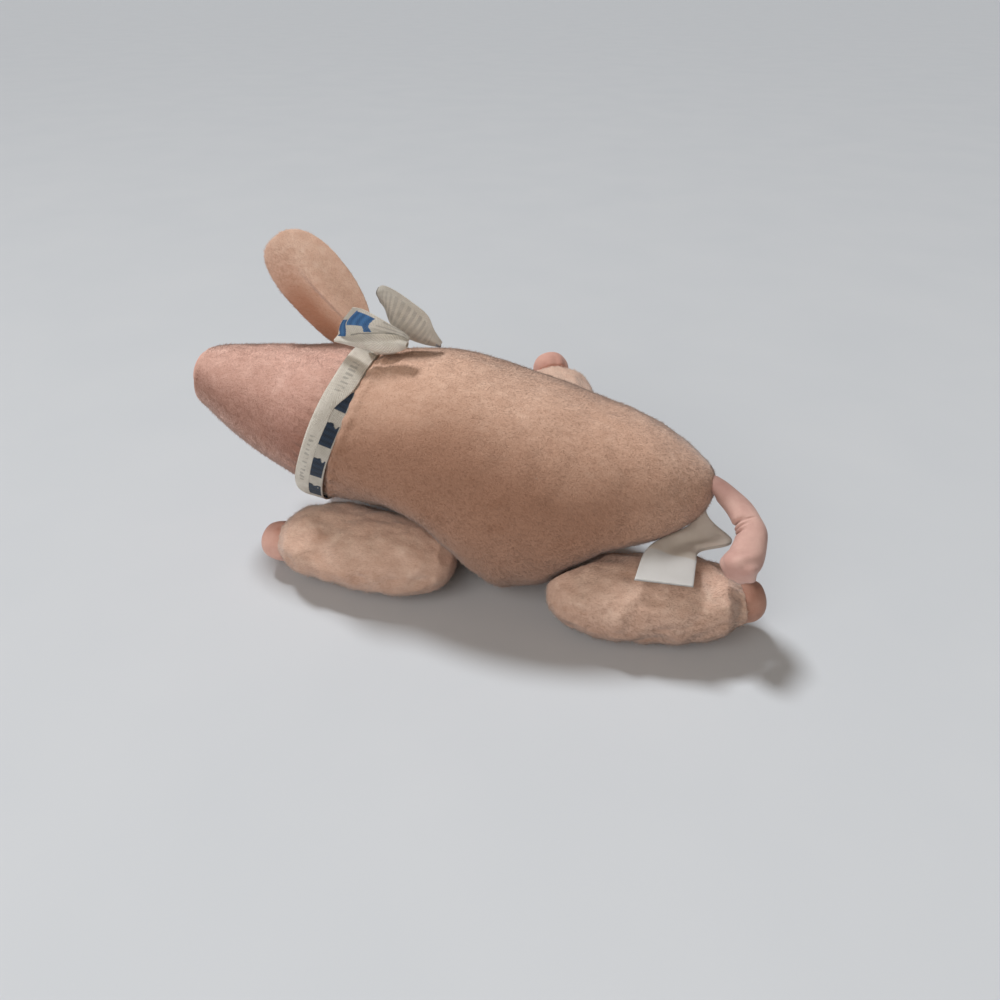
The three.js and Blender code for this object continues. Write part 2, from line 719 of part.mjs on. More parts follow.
addPiece('ribbon_left_tail', bowTail(leftTailShares, leftTailPlace), ribbonCloth);
addPiece('ribbon_right_tail', bowTail(rightTailShares, rightTailPlace), ribbonCloth);

// The origin is on the floor, under the middle of the pig's box
const middle = new THREE.Box3().setFromObject(pig).getCenter(new THREE.Vector3());
pig.position.set(-middle.x, -middle.y, 0);

export default pig;
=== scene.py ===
# %% [markdown]
# # A small plush pig, piece by piece
#
# The pig lies on its belly: a stuffed body and head in short peach plush, four pouches of
# pellets for legs, two soft ears, a curled cloth tail, a blank folded label and a checked
# ribbon tied round its neck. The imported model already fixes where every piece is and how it
# moves. This script only dresses it, so it reads its sizes from that model wherever it can.

# %% Load the frame
import itertools
import math

import bmesh
import bpy
import numpy as np
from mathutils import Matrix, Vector


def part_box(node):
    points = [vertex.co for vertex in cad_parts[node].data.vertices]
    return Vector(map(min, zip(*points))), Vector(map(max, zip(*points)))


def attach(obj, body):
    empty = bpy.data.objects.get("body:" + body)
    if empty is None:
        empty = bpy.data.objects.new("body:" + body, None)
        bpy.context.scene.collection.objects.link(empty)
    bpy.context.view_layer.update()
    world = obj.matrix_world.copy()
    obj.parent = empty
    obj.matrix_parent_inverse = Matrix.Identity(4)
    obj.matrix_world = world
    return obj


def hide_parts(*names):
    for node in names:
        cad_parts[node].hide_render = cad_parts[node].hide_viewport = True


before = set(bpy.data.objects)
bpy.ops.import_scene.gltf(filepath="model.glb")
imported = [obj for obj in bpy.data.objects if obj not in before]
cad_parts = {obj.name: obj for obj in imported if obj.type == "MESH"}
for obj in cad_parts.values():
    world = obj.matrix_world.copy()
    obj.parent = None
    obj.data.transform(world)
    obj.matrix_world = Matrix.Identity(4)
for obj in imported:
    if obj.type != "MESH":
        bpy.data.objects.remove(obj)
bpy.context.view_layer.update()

# %% [markdown]
# ## Driving dimensions
#
# These are the pig's own sizes, in metres. They are the same ones that the solids were made
# from, so what is modelled here lies where its solid lies.

# %% Sizes of the pig
mm = 0.001
cloth_gap = 0.3 * mm
foot_flat = 0.5 * mm
body_front, body_length, body_radius = -74 * mm, 139.5 * mm, 34.4 * mm
body_centre_height = body_radius - foot_flat
head_back, head_length, neck_radius = -34 * mm, 70.8 * mm, 26 * mm
snout_height, snout_radius, snout_pad_thickness = 58.4 * mm, 6.4 * mm, 1.6 * mm
snout_tilt = math.radians(12)
cover_wall = 2 * mm
neck_x, neck_height, neck_tilt = -53 * mm, 47 * mm, math.radians(20)
face_roll = math.radians(60)

# %% [markdown]
# The pig's own frame has its middle plane at y = 0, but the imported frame's origin is under
# the middle of the whole box. The step from one to the other can be read off the body's box:
# the rump is at the end of the body's length, and the body is as wide to the left as to the
# right.

# %% The step between the two frames
body_low, body_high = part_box("body_cover")
home = np.array([
    body_high.x - (body_front + body_length),
    (body_low.y + body_high.y) / 2,
    0,
])
print("the pig's own origin lies at", (home / mm).round(2), "mm")

# %% [markdown]
# ## Smooth runs through chosen points
#
# A soft toy has no straight lines. Its long forms are described by a few listed stations, and
# a Catmull-Rom spline runs smoothly through them. Each stretch is weighed by the square root
# of its length, which keeps the curve from overshooting where stations crowd.

# %% A spline through a list of points
def smooth_run(points, spots):
    """Points on a smooth curve through the given ones; spots run from 0 to 1 along it."""
    given = np.asarray(points, float)
    given = np.vstack([2 * given[0] - given[1], given, 2 * given[-1] - given[-2]])
    stretches = len(given) - 3
    place = np.clip(np.asarray(spots, float), 0, 1) * stretches
    first = np.minimum(place.astype(int), stretches - 1)
    part = (place - first)[:, None]
    before, start, end, after = (given[first + step] for step in range(4))
    middle_gap = np.linalg.norm(end - start, axis=1)
    middle_gap = np.where(middle_gap > 0, middle_gap, 1)
    gaps = [np.linalg.norm(start - before, axis=1), middle_gap, np.linalg.norm(after - end, axis=1)]
    gaps = [np.sqrt(np.where(gap > 0, gap, middle_gap))[:, None] for gap in gaps]
    slope_in = (start - before) / gaps[0] - (end - before) / (gaps[0] + gaps[1]) + (end - start) / gaps[1]
    slope_out = (end - start) / gaps[1] - (after - start) / (gaps[1] + gaps[2]) + (after - end) / gaps[2]
    slope_in, slope_out = slope_in * gaps[1], slope_out * gaps[1]
    square = 3 * (end - start) - 2 * slope_in - slope_out
    cube = 2 * (start - end) + slope_in + slope_out
    return start + part * (slope_in + part * (square + part * cube))

# %% [markdown]
# ## Lumps
#
# Stuffing is never even. Smooth random lumps come from values on a lattice of a chosen size,
# eased from corner to corner. The values come from a fixed sum of the lattice place, so every
# run gives the same pig.

# %% Smooth noise in space
lattice_steps = np.array([73856093, 19349663, 83492791])

def lumps(points, size, seed=0):
    """Smooth noise from -1 to 1 at each point, with lumps of a size in metres."""
    spot = np.asarray(points) / size + seed * 17.31
    cell = np.floor(spot).astype(np.int64)
    part = spot - cell
    ease = part * part * (3 - 2 * part)
    total = np.zeros(len(spot))
    for corner in itertools.product((0, 1), repeat=3):
        key = ((cell + corner) * lattice_steps).sum(axis=1)
        key = (key ^ (key >> 13)) & 0x7FFFFFFF
        key = (key * 1103515245 + 12345) & 0x7FFFFFFF
        key = ((key >> 8) * 69069 + 1) & 0x7FFFFFFF
        value = key / 0x3FFFFFFF - 1
        weight = np.prod(np.where(corner, ease, 1 - ease), axis=1)
        total += value * weight
    return total

def lumped(points, heights_and_sizes, seed):
    """The sum of lumps of several heights and sizes."""
    return sum(
        height * lumps(points, size, seed + number)
        for number, (height, size) in enumerate(heights_and_sizes)
    )

def step_between(values, low, high):
    """0 below low, 1 above high, and eased between them."""
    part = np.clip((np.asarray(values) - low) / (high - low), 0, 1)
    return part * part * (3 - 2 * part)

# %% [markdown]
# ## Making and placing meshes
#
# Every piece is worked out as arrays of points in the pig's own frame and becomes a mesh in
# one go. Bmesh then turns all faces outward and, where a cover is open to its neighbour, cuts
# it off along the seam's plane and closes the cut.

# %% From points to a piece
def new_piece(name, points, faces, cuts=()):
    """A smooth mesh object from points in the pig's own frame, cut off by planes."""
    mesh = bpy.data.meshes.new(name)
    mesh.from_pydata((np.asarray(points) + home).tolist(), [], faces)
    shape = bmesh.new()
    shape.from_mesh(mesh)
    for point, normal in cuts:
        parts = shape.verts[:] + shape.edges[:] + shape.faces[:]
        cut = bmesh.ops.bisect_plane(
            shape, geom=parts, plane_co=np.asarray(point) + home, plane_no=normal, clear_outer=True,
        )
        rim = [part for part in cut["geom_cut"] if isinstance(part, bmesh.types.BMEdge)]
        bmesh.ops.holes_fill(shape, edges=rim, sides=0)
    bmesh.ops.recalc_face_normals(shape, faces=shape.faces)
    shape.to_mesh(mesh)
    shape.free()
    mesh.polygons.foreach_set("use_smooth", [True] * len(mesh.polygons))
    piece = bpy.data.objects.new(name, mesh)
    bpy.context.scene.collection.objects.link(piece)
    return piece

def mark(piece, name, values):
    """A number at each point, which the piece's finish can read."""
    attribute = piece.data.attributes.new(name, "FLOAT", "POINT")
    attribute.data.foreach_set("value", np.asarray(values, np.float32))

def points_of(piece):
    """The piece's points, in the pig's own frame."""
    spots = np.empty(len(piece.data.vertices) * 3)
    piece.data.vertices.foreach_get("co", spots)
    return spots.reshape(-1, 3) - home

# %% A closed form from pole to pole
def round_form(rows, sides, place):
    """Points and faces of a closed form; place(along, angle) takes arrays of both."""
    along = np.linspace(0, 1, rows + 1)[1:-1]
    angle = np.arange(sides) / sides * 2 * math.pi
    grid_along, grid_angle = np.meshgrid(along, angle, indexing="ij")
    points = place(grid_along.ravel(), grid_angle.ravel())
    poles = place(np.array([0.0, 1.0]), np.zeros(2))
    faces = []
    for row, side in itertools.product(range(rows - 2), range(sides)):
        here, there = row * sides, (row + 1) * sides
        after = (side + 1) % sides
        faces.append((here + side, here + after, there + after, there + side))
    first_pole, last_pole = len(points), len(points) + 1
    last_row = (rows - 2) * sides
    for side in range(sides):
        after = (side + 1) % sides
        faces.append((first_pole, after, side))
        faces.append((last_pole, last_row + side, last_row + after))
    return np.vstack([points, poles]), faces

# %% A strip of cloth with a thickness
def cloth_strip(across, along, place, thickness, closed=False):
    """Points and faces of a thin closed strip round a surface place(across, along)."""
    spots_across = np.linspace(0, 1, across + 1)
    spots_along = np.linspace(0, 1, along + 1)[:-1] if closed else np.linspace(0, 1, along + 1)
    grid_along, grid_across = np.meshgrid(spots_along, spots_across, indexing="ij")
    u, v = grid_across.ravel(), grid_along.ravel()
    middle = place(u, v)
    nudge = 1e-3
    side = place(np.minimum(u + nudge, 1), v) - place(np.maximum(u - nudge, 0), v)
    if closed:
        ahead = place(u, (v + nudge) % 1) - place(u, (v - nudge) % 1)
    else:
        ahead = place(u, np.minimum(v + nudge, 1)) - place(u, np.maximum(v - nudge, 0))
    out = np.cross(side, ahead)
    out /= np.linalg.norm(out, axis=1)[:, None]
    points = np.vstack([middle + out * thickness / 2, middle - out * thickness / 2])
    width, rows, under = across + 1, len(spots_along), len(middle)
    faces = []
    lengthwise = rows if closed else rows - 1
    for row in range(lengthwise):
        here, there = row * width, ((row + 1) % rows) * width
        for step in range(across):
            a, b, c, d = here + step, here + step + 1, there + step + 1, there + step
            faces.append((a, b, c, d))
            faces.append((under + d, under + c, under + b, under + a))
        for edge in (0, across):
            a, b = here + edge, there + edge
            quad = (a, b, under + b, under + a)
            faces.append(quad if edge == 0 else quad[::-1])
    if not closed:
        for row in (0, rows - 1):
            for step in range(across):
                a, b = row * width + step, row * width + step + 1
                quad = (a, under + a, under + b, b)
                faces.append(quad if row == 0 else quad[::-1])
    return points, faces, np.tile(u, 2), np.tile(v, 2)

# %% [markdown]
# ## Camera, floor and light
#
# The photograph was taken from the pig's left, a little behind it and from above. Soft
# light falls from high on the left, so the backs are bright, the flanks brown, and a short
# shadow lies to the right in front of the legs. The floor and the surroundings are pale.

# %% The camera
photo_width = 1000
focal_pixels = 780
film_width = 36
camera_spot = np.array([53.08, -203.5, 170]) * mm
camera_direction = Vector((-0.2128, 0.7941, -0.5693))
camera_data = bpy.data.cameras.new("camera")
camera_data.sensor_width = film_width
camera_data.lens = focal_pixels / photo_width * film_width
camera_data.clip_start = 10 * mm
camera = bpy.data.objects.new("camera", camera_data)
camera.location = camera_spot + home
camera.rotation_mode = "QUATERNION"
camera.rotation_quaternion = camera_direction.to_track_quat("-Z", "Y")
bpy.context.scene.collection.objects.link(camera)
bpy.context.scene.camera = camera
bpy.context.scene.view_settings.view_transform = "Standard"
print("the lens is", round(camera_data.lens, 1), "mm on a film", film_width, "mm wide")

# %% [markdown]
# ## Writing finishes
#
# A finish is a small shader. Its maths reads best as ordinary expressions, so a `Reading`
# wraps the output of a node, and adding or multiplying it adds the Math node. Everything else
# goes through `node`, which takes the node's type, its settings and what its sockets get.

# %% Shader maths as expressions
class Reading:
    """The number or colour that comes out of a node."""

    def __init__(self, finish, socket):
        self.finish, self.socket = finish, socket

    def join(self, operation, first, second):
        return self.finish.node("ShaderNodeMath", {"operation": operation}, {0: first, 1: second})

    def __add__(self, other):
        return self.join("ADD", self, other)

    def __radd__(self, other):
        return self.join("ADD", other, self)

    def __sub__(self, other):
        return self.join("SUBTRACT", self, other)

    def __rsub__(self, other):
        return self.join("SUBTRACT", other, self)

    def __mul__(self, other):
        return self.join("MULTIPLY", self, other)

    def __rmul__(self, other):
        return self.join("MULTIPLY", other, self)

    def wave(self):
        return self.join("SINE", self, 0)

    def between(self, low, high):
        """0 below low, 1 above high, eased between them."""
        settings = {"interpolation_type": "SMOOTHSTEP", "clamp": True}
        return self.finish.node("ShaderNodeMapRange", settings, {"Value": self, 1: low, 2: high})

# %% One finish
class Finish:
    """A material whose surface is one Principled shader."""

    def __init__(self, name, **constants):
        self.material = bpy.data.materials.new(name)
        self.material.use_nodes = True
        self.tree = self.material.node_tree
        self.shader = self.tree.nodes["Principled BSDF"]
        for socket, value in constants.items():
            self.shader.inputs[socket.replace("_", " ")].default_value = value

    def node(self, kind, settings=None, inputs=None, output=0):
        made = self.tree.nodes.new(kind)
        for setting, value in (settings or {}).items():
            setattr(made, setting, value)
        for socket, value in (inputs or {}).items():
            self.feed(made.inputs[socket], value)
        return Reading(self, made.outputs[output])

    def feed(self, socket, value):
        if isinstance(value, Reading):
            self.tree.links.new(value.socket, socket)
        else:
            socket.default_value = value

    def place(self):
        return self.node("ShaderNodeTexCoord", output="Object")

    def noise(self, size, detail=2.0, roughness=0.5, stretch=None):
        """Smooth noise from 0 to 1 with patches of a size in metres."""
        where = self.place()
        if stretch:
            settings = {"operation": "MULTIPLY"}
            where = self.node("ShaderNodeVectorMath", settings, {0: where, 1: stretch})
        inputs = {"Vector": where, "Scale": 1 / size, "Detail": detail, "Roughness": roughness}
        return self.node("ShaderNodeTexNoise", None, inputs)

    def marked(self, name):
        return self.node("ShaderNodeAttribute", {"attribute_name": name}, None, "Fac")

    def blend(self, part, first, second):
        """Two colours mixed by a part from 0 to 1."""
        settings = {"data_type": "RGBA", "clamp_factor": True}
        return self.node("ShaderNodeMix", settings, {0: part, 6: first, 7: second}, 2)

    def colour(self, value):
        self.feed(self.shader.inputs["Base Color"], value)

    def roughness(self, value):
        self.feed(self.shader.inputs["Roughness"], value)

    def bump(self, height, depth):
        """Raises the surface by height, from 0 to 1, times a depth in metres."""
        inputs = {"Height": height, "Distance": depth, "Strength": 1}
        self.feed(self.shader.inputs["Normal"], self.node("ShaderNodeBump", None, inputs))

def paint(red, green, blue):
    """A colour as a screen shows it, 0 to 255, as the shader's own linear numbers."""
    shares = [value / 255 for value in (red, green, blue)]
    return [s / 12.92 if s <= 0.04045 else ((s + 0.055) / 1.055) ** 2.4 for s in shares] + [1]

# %% [markdown]
# The floor is one wide pale sheet, so nothing of a room is seen. It could be a plain plane
# from Blender's menu, but one quad made from its corners says its size plainly. The finish is
# almost even, because a busy floor would draw the eye from the pig.

# %% The floor
floor_half = 6.0
floor_patch = 60 * mm
floor_deep, floor_pale = paint(204, 210, 216), paint(211, 216, 221)
floor_mesh = bpy.data.meshes.new("floor")
floor_corners = [(-1, -1), (1, -1), (1, 1), (-1, 1)]
floor_mesh.from_pydata(
    [(x * floor_half, y * floor_half, 0) for x, y in floor_corners], [], [(0, 1, 2, 3)],
)
floor = bpy.data.objects.new("floor", floor_mesh)
bpy.context.scene.collection.objects.link(floor)
floor_finish = Finish("pale_floor", Roughness=0.9)
floor_finish.colour(floor_finish.blend(floor_finish.noise(floor_patch, detail=3), floor_deep, floor_pale))
floor_mesh.materials.append(floor_finish.material)
print("the floor is", 2 * floor_half, "m wide")

# %% [markdown]
# The world does two jobs. As light it is weak and warm, as the light that a wooden room sends
# into shadows is. What the camera and gloss see of it is another, paler Background, and the
# Light Path node picks between the two, so the backdrop can be pale and yet light nothing.

# %% The sky
sky_tint, sky_strength = paint(246, 218, 188), 0.13
backdrop_tint = paint(192, 194, 197)
world = bpy.data.worlds.new("sky")
bpy.context.scene.world = world
world.use_nodes = True
add_node = world.node_tree.nodes.new
join = world.node_tree.links.new
sky = world.node_tree.nodes["Background"]
sky.inputs["Color"].default_value = sky_tint
sky.inputs["Strength"].default_value = sky_strength
backdrop = add_node("ShaderNodeBackground")
backdrop.inputs["Color"].default_value = backdrop_tint
ray = add_node("ShaderNodeLightPath")
seen = ray.outputs["Is Camera Ray"]
for kind in ("Is Glossy Ray", "Is Transmission Ray"):
    larger = add_node("ShaderNodeMath")
    larger.operation = "MAXIMUM"
    join(seen, larger.inputs[0])
    join(ray.outputs[kind], larger.inputs[1])
    seen = larger.outputs[0]
either = add_node("ShaderNodeMixShader")
join(seen, either.inputs[0])
join(sky.outputs[0], either.inputs[1])
join(backdrop.outputs[0], either.inputs[2])
join(either.outputs[0], world.node_tree.nodes["World Output"].inputs["Surface"])

# %% [markdown]
# Two lamps do the rest. A sun, which is the same all over the floor, comes from behind on the
# left; its angle of 12 degrees softens the shadow's edge. A wide disk in front lifts the
# flank. It shines rather flat, because a steep one would light up the shadow on the floor too.

# %% The lamps
key_direction, key_power, key_tint = (0.46, -0.36, -1), 2.2, (0.975, 0.985, 1.0)
key_softness = math.radians(12)
fill_direction, fill_power, fill_tint = (0.3, 1.0, -0.72), 7.2, (1.0, 0.96, 0.92)
fill_width = 1.2

def lamp(name, kind, towards, power, tint):
    """A lamp that stands back from the origin and shines along a direction."""
    data = bpy.data.lights.new(name, kind)
    data.energy, data.color = power, tint
    made = bpy.data.objects.new(name, data)
    made.location = -Vector(towards)
    made.rotation_mode = "QUATERNION"
    made.rotation_quaternion = Vector(towards).to_track_quat("-Z", "Y")
    bpy.context.scene.collection.objects.link(made)
    return data

key_lamp = lamp("key_lamp", "SUN", key_direction, key_power, key_tint)
key_lamp.angle = key_softness
fill_lamp = lamp("fill_lamp", "AREA", fill_direction, fill_power, fill_tint)
fill_lamp.shape = "DISK"
fill_lamp.size = fill_width
print("the fill lamp is", fill_width, "m wide and shines with", fill_power, "W")

# %% [markdown]
# ## Plush
#
# Plush is a knitted cloth with a short pile. Seen close, the pile parts and lies in little
# locks, its roots are dark because light doesn't reach them, and its tips are pale. That shade
# at the roots and between the locks is painted into the colour here. Blender's own hair would
# be slow and isn't a closed mesh, and a texture alone would leave the outline hard. So the pile
# is real here: thin closed spikes stand on the skin, lean along the nap, and lie together in
# locks. The skin below gets the same colours, a little deeper, as painted shade under the pile.

# %% The plush colours
patch_size, lock_size, spot_size, knit_size = 10 * mm, 2.4 * mm, 8 * mm, 0.8 * mm
lock_stretch = (0.6, 1, 1)

def plush_colours(finish, pale, deep, shade_and_wear):
    """Mottled plush: broad patches, painted shade between small locks and where marked, random spots."""
    broad = finish.noise(patch_size, detail=3, roughness=0.6)
    small = finish.noise(lock_size, detail=4, roughness=0.65, stretch=lock_stretch)
    mixed = finish.blend((broad - 0.3) * 1.6, deep, pale)
    # Painted shade: the gaps between the locks are darkened towards the shade brown.
    shade_between_locks = finish.blend(0.22, finish.blend(0.8, mixed, deep), shade_and_wear)
    mixed = finish.blend((small - 0.38) * 3.2, shade_between_locks, mixed)
    spots = finish.noise(spot_size, detail=1).between(0.64, 0.8)
    # Painted shade where the piece is marked, and small random darker spots.
    return finish.blend(spots * 0.08 + finish.marked("painted_shade"), mixed, shade_and_wear)

# %% The skin's finish and the pile's
def plush_finish(name, pale, deep, shade_and_wear):
    """The knitted skin under the pile, a little deeper as painted shade under the pile."""
    finish = Finish(name, Roughness=0.9, Specular_IOR_Level=0.12, Sheen_Weight=0.3, Sheen_Roughness=0.5)
    finish.colour(finish.blend(0.15, plush_colours(finish, pale, deep, shade_and_wear), deep))
    finish.bump(finish.noise(knit_size, detail=4, roughness=0.7), 0.3 * mm)
    return finish.material

def pile_finish(name, pale, deep, shade_and_wear):
    """The spikes: painted shade at the root, and each with its own tint."""
    finish = Finish(name, Roughness=0.85, Specular_IOR_Level=0.08, Sheen_Weight=0.3, Sheen_Roughness=0.5)
    mixed = plush_colours(finish, pale, deep, shade_and_wear)
    # Painted shade: each spike darkens towards its root.
    root = finish.blend(0.55, mixed, shade_and_wear)
    root_shaded = finish.blend(finish.marked("rise").between(0.0, 0.6), root, mixed)
    tint = finish.marked("tint")
    tinted = finish.blend(tint * 0.26, root_shaded, shade_and_wear)
    finish.colour(finish.blend((1 - tint) * 0.2, tinted, pale))
    return finish.material

# %% The plush on each part
# The third paint of each part is the brown of its painted shade, which also tints small darker spots.
peach_pale, peach_deep, peach_shade_and_wear = paint(255, 222, 200), paint(236, 196, 172), paint(152, 108, 84)
rose_pale, rose_deep, rose_shade_and_wear = paint(255, 220, 206), paint(238, 194, 178), paint(150, 98, 80)
leg_pale, leg_deep, leg_shade_and_wear = paint(252, 230, 212), paint(234, 200, 180), paint(166, 118, 92)
# The ear's paints are paler than the body's, as painted light that comes through the thin ear.
ear_lit_pale, ear_lit_deep, ear_shade_and_wear = paint(254, 230, 212), paint(248, 212, 190), paint(176, 116, 84)
plush_paints = {
    "body": (peach_pale, peach_deep, peach_shade_and_wear),
    "head": (rose_pale, rose_deep, rose_shade_and_wear),
    "leg": (leg_pale, leg_deep, leg_shade_and_wear),
    "ear": (ear_lit_pale, ear_lit_deep, ear_shade_and_wear),
}
plush, pile_looks = {}, {}
for part, paints in plush_paints.items():
    plush[part] = plush_finish(f"{part}_plush", *paints)
    pile_looks[part] = pile_finish(f"{part}_pile_fibre", *paints)
print("plush finishes:", sorted(plush))

# %% [markdown]
# The pile is sown on the skin's triangles by their area. A spike has three corners at its
# root and one at its tip, so four faces close it. Its shading leans only part of the way from
# the skin's to its own, and it throws no shadow, because the skin below throws that already.
# Real pile lets light through in the same way, and so it looks soft and not prickly.

# %% The sizes of the pile
pile_length = 0.9 * mm
pile_width = 0.125 * mm
pile_depth = 0.5 * mm
pile_lean = math.radians(71)
stray_share = 0.15
shade_lean = 0.5
floor_clearance = 0.25 * mm

def unit(vectors):
    """Each vector with a length of one."""
    return vectors / np.maximum(np.linalg.norm(vectors, axis=1), 1e-12)[:, None]

# %% Choosing where the spikes stand
def skin_triangles(skin):
    """The corners of every triangle of a skin, in the pig's own frame."""
    mesh = skin.data
    mesh.calc_loop_triangles()
    corners = np.empty(len(mesh.loop_triangles) * 3, np.int32)
    mesh.loop_triangles.foreach_get("vertices", corners)
    return points_of(skin)[corners.reshape(-1, 3)]

def scattered(triangles, count, draw):
    """Places spread evenly over triangles, and the way out at each."""
    first, second, third = triangles[:, 0], triangles[:, 1], triangles[:, 2]
    out = np.cross(second - first, third - first)
    area = np.linalg.norm(out, axis=1)
    chosen = draw.choice(len(triangles), count, p=area / area.sum())
    u, v = draw.random(count), draw.random(count)
    flip = u + v > 1
    u, v = np.where(flip, 1 - u, u)[:, None], np.where(flip, 1 - v, v)[:, None]
    root = first[chosen] + u * (second - first)[chosen] + v * (third - first)[chosen]
    return root, unit(out[chosen])

# %% Which way each spike points
nap_wander, nap_scatter = ((0.35, 7 * mm), (0.3, 1.6 * mm)), 0.2
lean_wander, lean_scatter, least_lean, most_lean = (0.2, 2 * mm), 0.1, 0.3, 1.4
reach_wander, reach_scatter, middle_reach = (0.2, 3 * mm), 0.2, 0.9
stray_lean_share, stray_reach_share = 0.5, 1.15

def laid_down(root, out, nap, length, seed, draw):
    """The way that each spike points, and how far; strays stand up out of the nap."""
    count = len(root)
    flat = nap(root)
    flat = unit(flat - out * (flat * out).sum(axis=1)[:, None])
    side = np.cross(out, flat)
    turn = lumped(root, nap_wander, seed)
    turn = (turn + draw.normal(0, nap_scatter, count))[:, None]
    flat = flat * np.cos(turn) + side * np.sin(turn)
    lean = pile_lean + lumped(root, [lean_wander], seed + 2) + draw.normal(0, lean_scatter, count)
    stray = draw.random(count) < stray_share
    lean = np.where(stray, lean * stray_lean_share, lean)
    lean = np.clip(lean, least_lean, most_lean)[:, None]
    along = out * np.cos(lean) + flat * np.sin(lean)
    uneven = lumped(root, [reach_wander], seed + 3)
    uneven = uneven + draw.uniform(-reach_scatter, reach_scatter, count)
    reach = length * (middle_reach + uneven)
    return along, np.where(stray, reach * stray_reach_share, reach)

# %% The spikes' corners and faces
spike_faces = ((0, 2, 1), (0, 1, 3), (1, 2, 3), (2, 0, 3))

def spikes(root, out, along, reach):
    """Three corners round each root and one at the tip, and the faces that close them."""
    count = len(root)
    tip = root + along * reach[:, None]
    tip[:, 2] = np.maximum(tip[:, 2], floor_clearance)
    wide = unit(np.cross(along, out))
    deep = np.cross(along, wide)
    points = np.empty((count, 4, 3))
    for corner in range(3):
        angle = 2 * math.pi * corner / 3
        ring = wide * math.cos(angle) + deep * math.sin(angle)
        points[:, corner] = root + ring * pile_width / 2 - out * pile_width / 3
    points[:, 3] = tip
    points[:, :, 2] = np.maximum(points[:, :, 2], floor_clearance / 2)
    start = np.arange(count)[:, None] * 4
    return points.reshape(-1, 3), np.concatenate([start + list(face) for face in spike_faces])

# %% A mesh of many triangles
def quick_piece(name, points, triangles):
    """A piece handed over as whole arrays, which is much faster than face by face."""
    mesh = bpy.data.meshes.new(name)
    mesh.vertices.add(len(points))
    mesh.vertices.foreach_set("co", (points + home).ravel())
    mesh.loops.add(len(triangles) * 3)
    mesh.loops.foreach_set("vertex_index", triangles.ravel().astype(np.int32))
    mesh.polygons.add(len(triangles))
    mesh.polygons.foreach_set("loop_start", np.arange(len(triangles), dtype=np.int32) * 3)
    mesh.polygons.foreach_set("use_smooth", [True] * len(triangles))
    mesh.update()
    piece = bpy.data.objects.new(name, mesh)
    bpy.context.scene.collection.objects.link(piece)
    return piece

# %% Sowing the pile
def no_painted_shade(points):
    """A piece without painted shade."""
    return np.zeros(len(points))

def sow_pile(name, skin, count, nap, look, seed, keep, painted_shade=no_painted_shade, length=pile_length):
    """Closed spikes on a skin; nap(points) says which way they lie, keep(points) where."""
    draw = np.random.default_rng(seed)
    triangles = skin_triangles(skin)
    root, out = scattered(triangles[keep(triangles.mean(axis=1))], count, draw)
    along, reach = laid_down(root, out, nap, length, seed, draw)
    pile = quick_piece(name, *spikes(root, out, along, reach))
    shade = np.repeat(out + shade_lean * along, 4, axis=0)
    pile.data.normals_split_custom_set_from_vertices(unit(shade).tolist())
    mark(pile, "rise", np.tile([0, 0, 0, 1], count))
    mark(pile, "tint", np.repeat(draw.random(count), 4))
    # Painted shade, one value per spike, taken at its root.
    mark(pile, "painted_shade", np.repeat(painted_shade(root), 4))
    pile.data.materials.append(pile_looks[look])
    pile.visible_shadow = False
    print(name, "has", count, "spikes")
    return pile

# %% [markdown]
# ## Body and head
#
# Both are bags round a spine of stations: how far along, how high the middle is, how thick
# the bag is, and how deep its underside hangs beside that. The belly hangs between the legs,
# so it is shallow there and deep in the middle, where it touches the floor.

# %% Stations along the body and the head
body_station_shares = [
    (0, 1.42, 0, 1), (0.025, 1.42, 0.4, 1), (0.09, 1.37, 0.7, 1), (0.175, 1.325, 0.755, 0.9),
    (0.245, 1.275, 0.81, 0.68), (0.315, 1.24, 0.875, 0.56), (0.385, 1.2, 0.935, 0.6),
    (0.455, 1.135, 0.975, 0.84), (0.525, 1.04, 1.005, 1), (0.595, 0.99, 0.99, 1),
    (0.67, 0.962, 0.945, 0.9), (0.74, 0.975, 0.86, 0.62), (0.81, 1, 0.755, 0.46),
    (0.88, 1.035, 0.615, 0.48), (0.95, 1.1, 0.385, 0.6), (0.985, 1.16, 0.2, 0.8), (1, 1.19, 0, 1),
]
head_station_shares = [
    (0, 0.76, 0, 1), (0.03, 0.76, 0.5, 1), (0.1, 0.765, 0.95, 1), (0.2, 0.775, 1, 1),
    (0.3, 0.79, 0.96, 1), (0.4, 0.81, 0.89, 1), (0.5, 0.835, 0.8, 1.02), (0.6, 0.862, 0.725, 1.06),
    (0.72, 0.905, 0.605, 1.26), (0.84, 0.95, 0.475, 1.39), (0.93, 0.98, 0.365, 1.42),
    (1.02, 1, 0.27, 1.2), (1.04, 1.002, 0, 1),
]

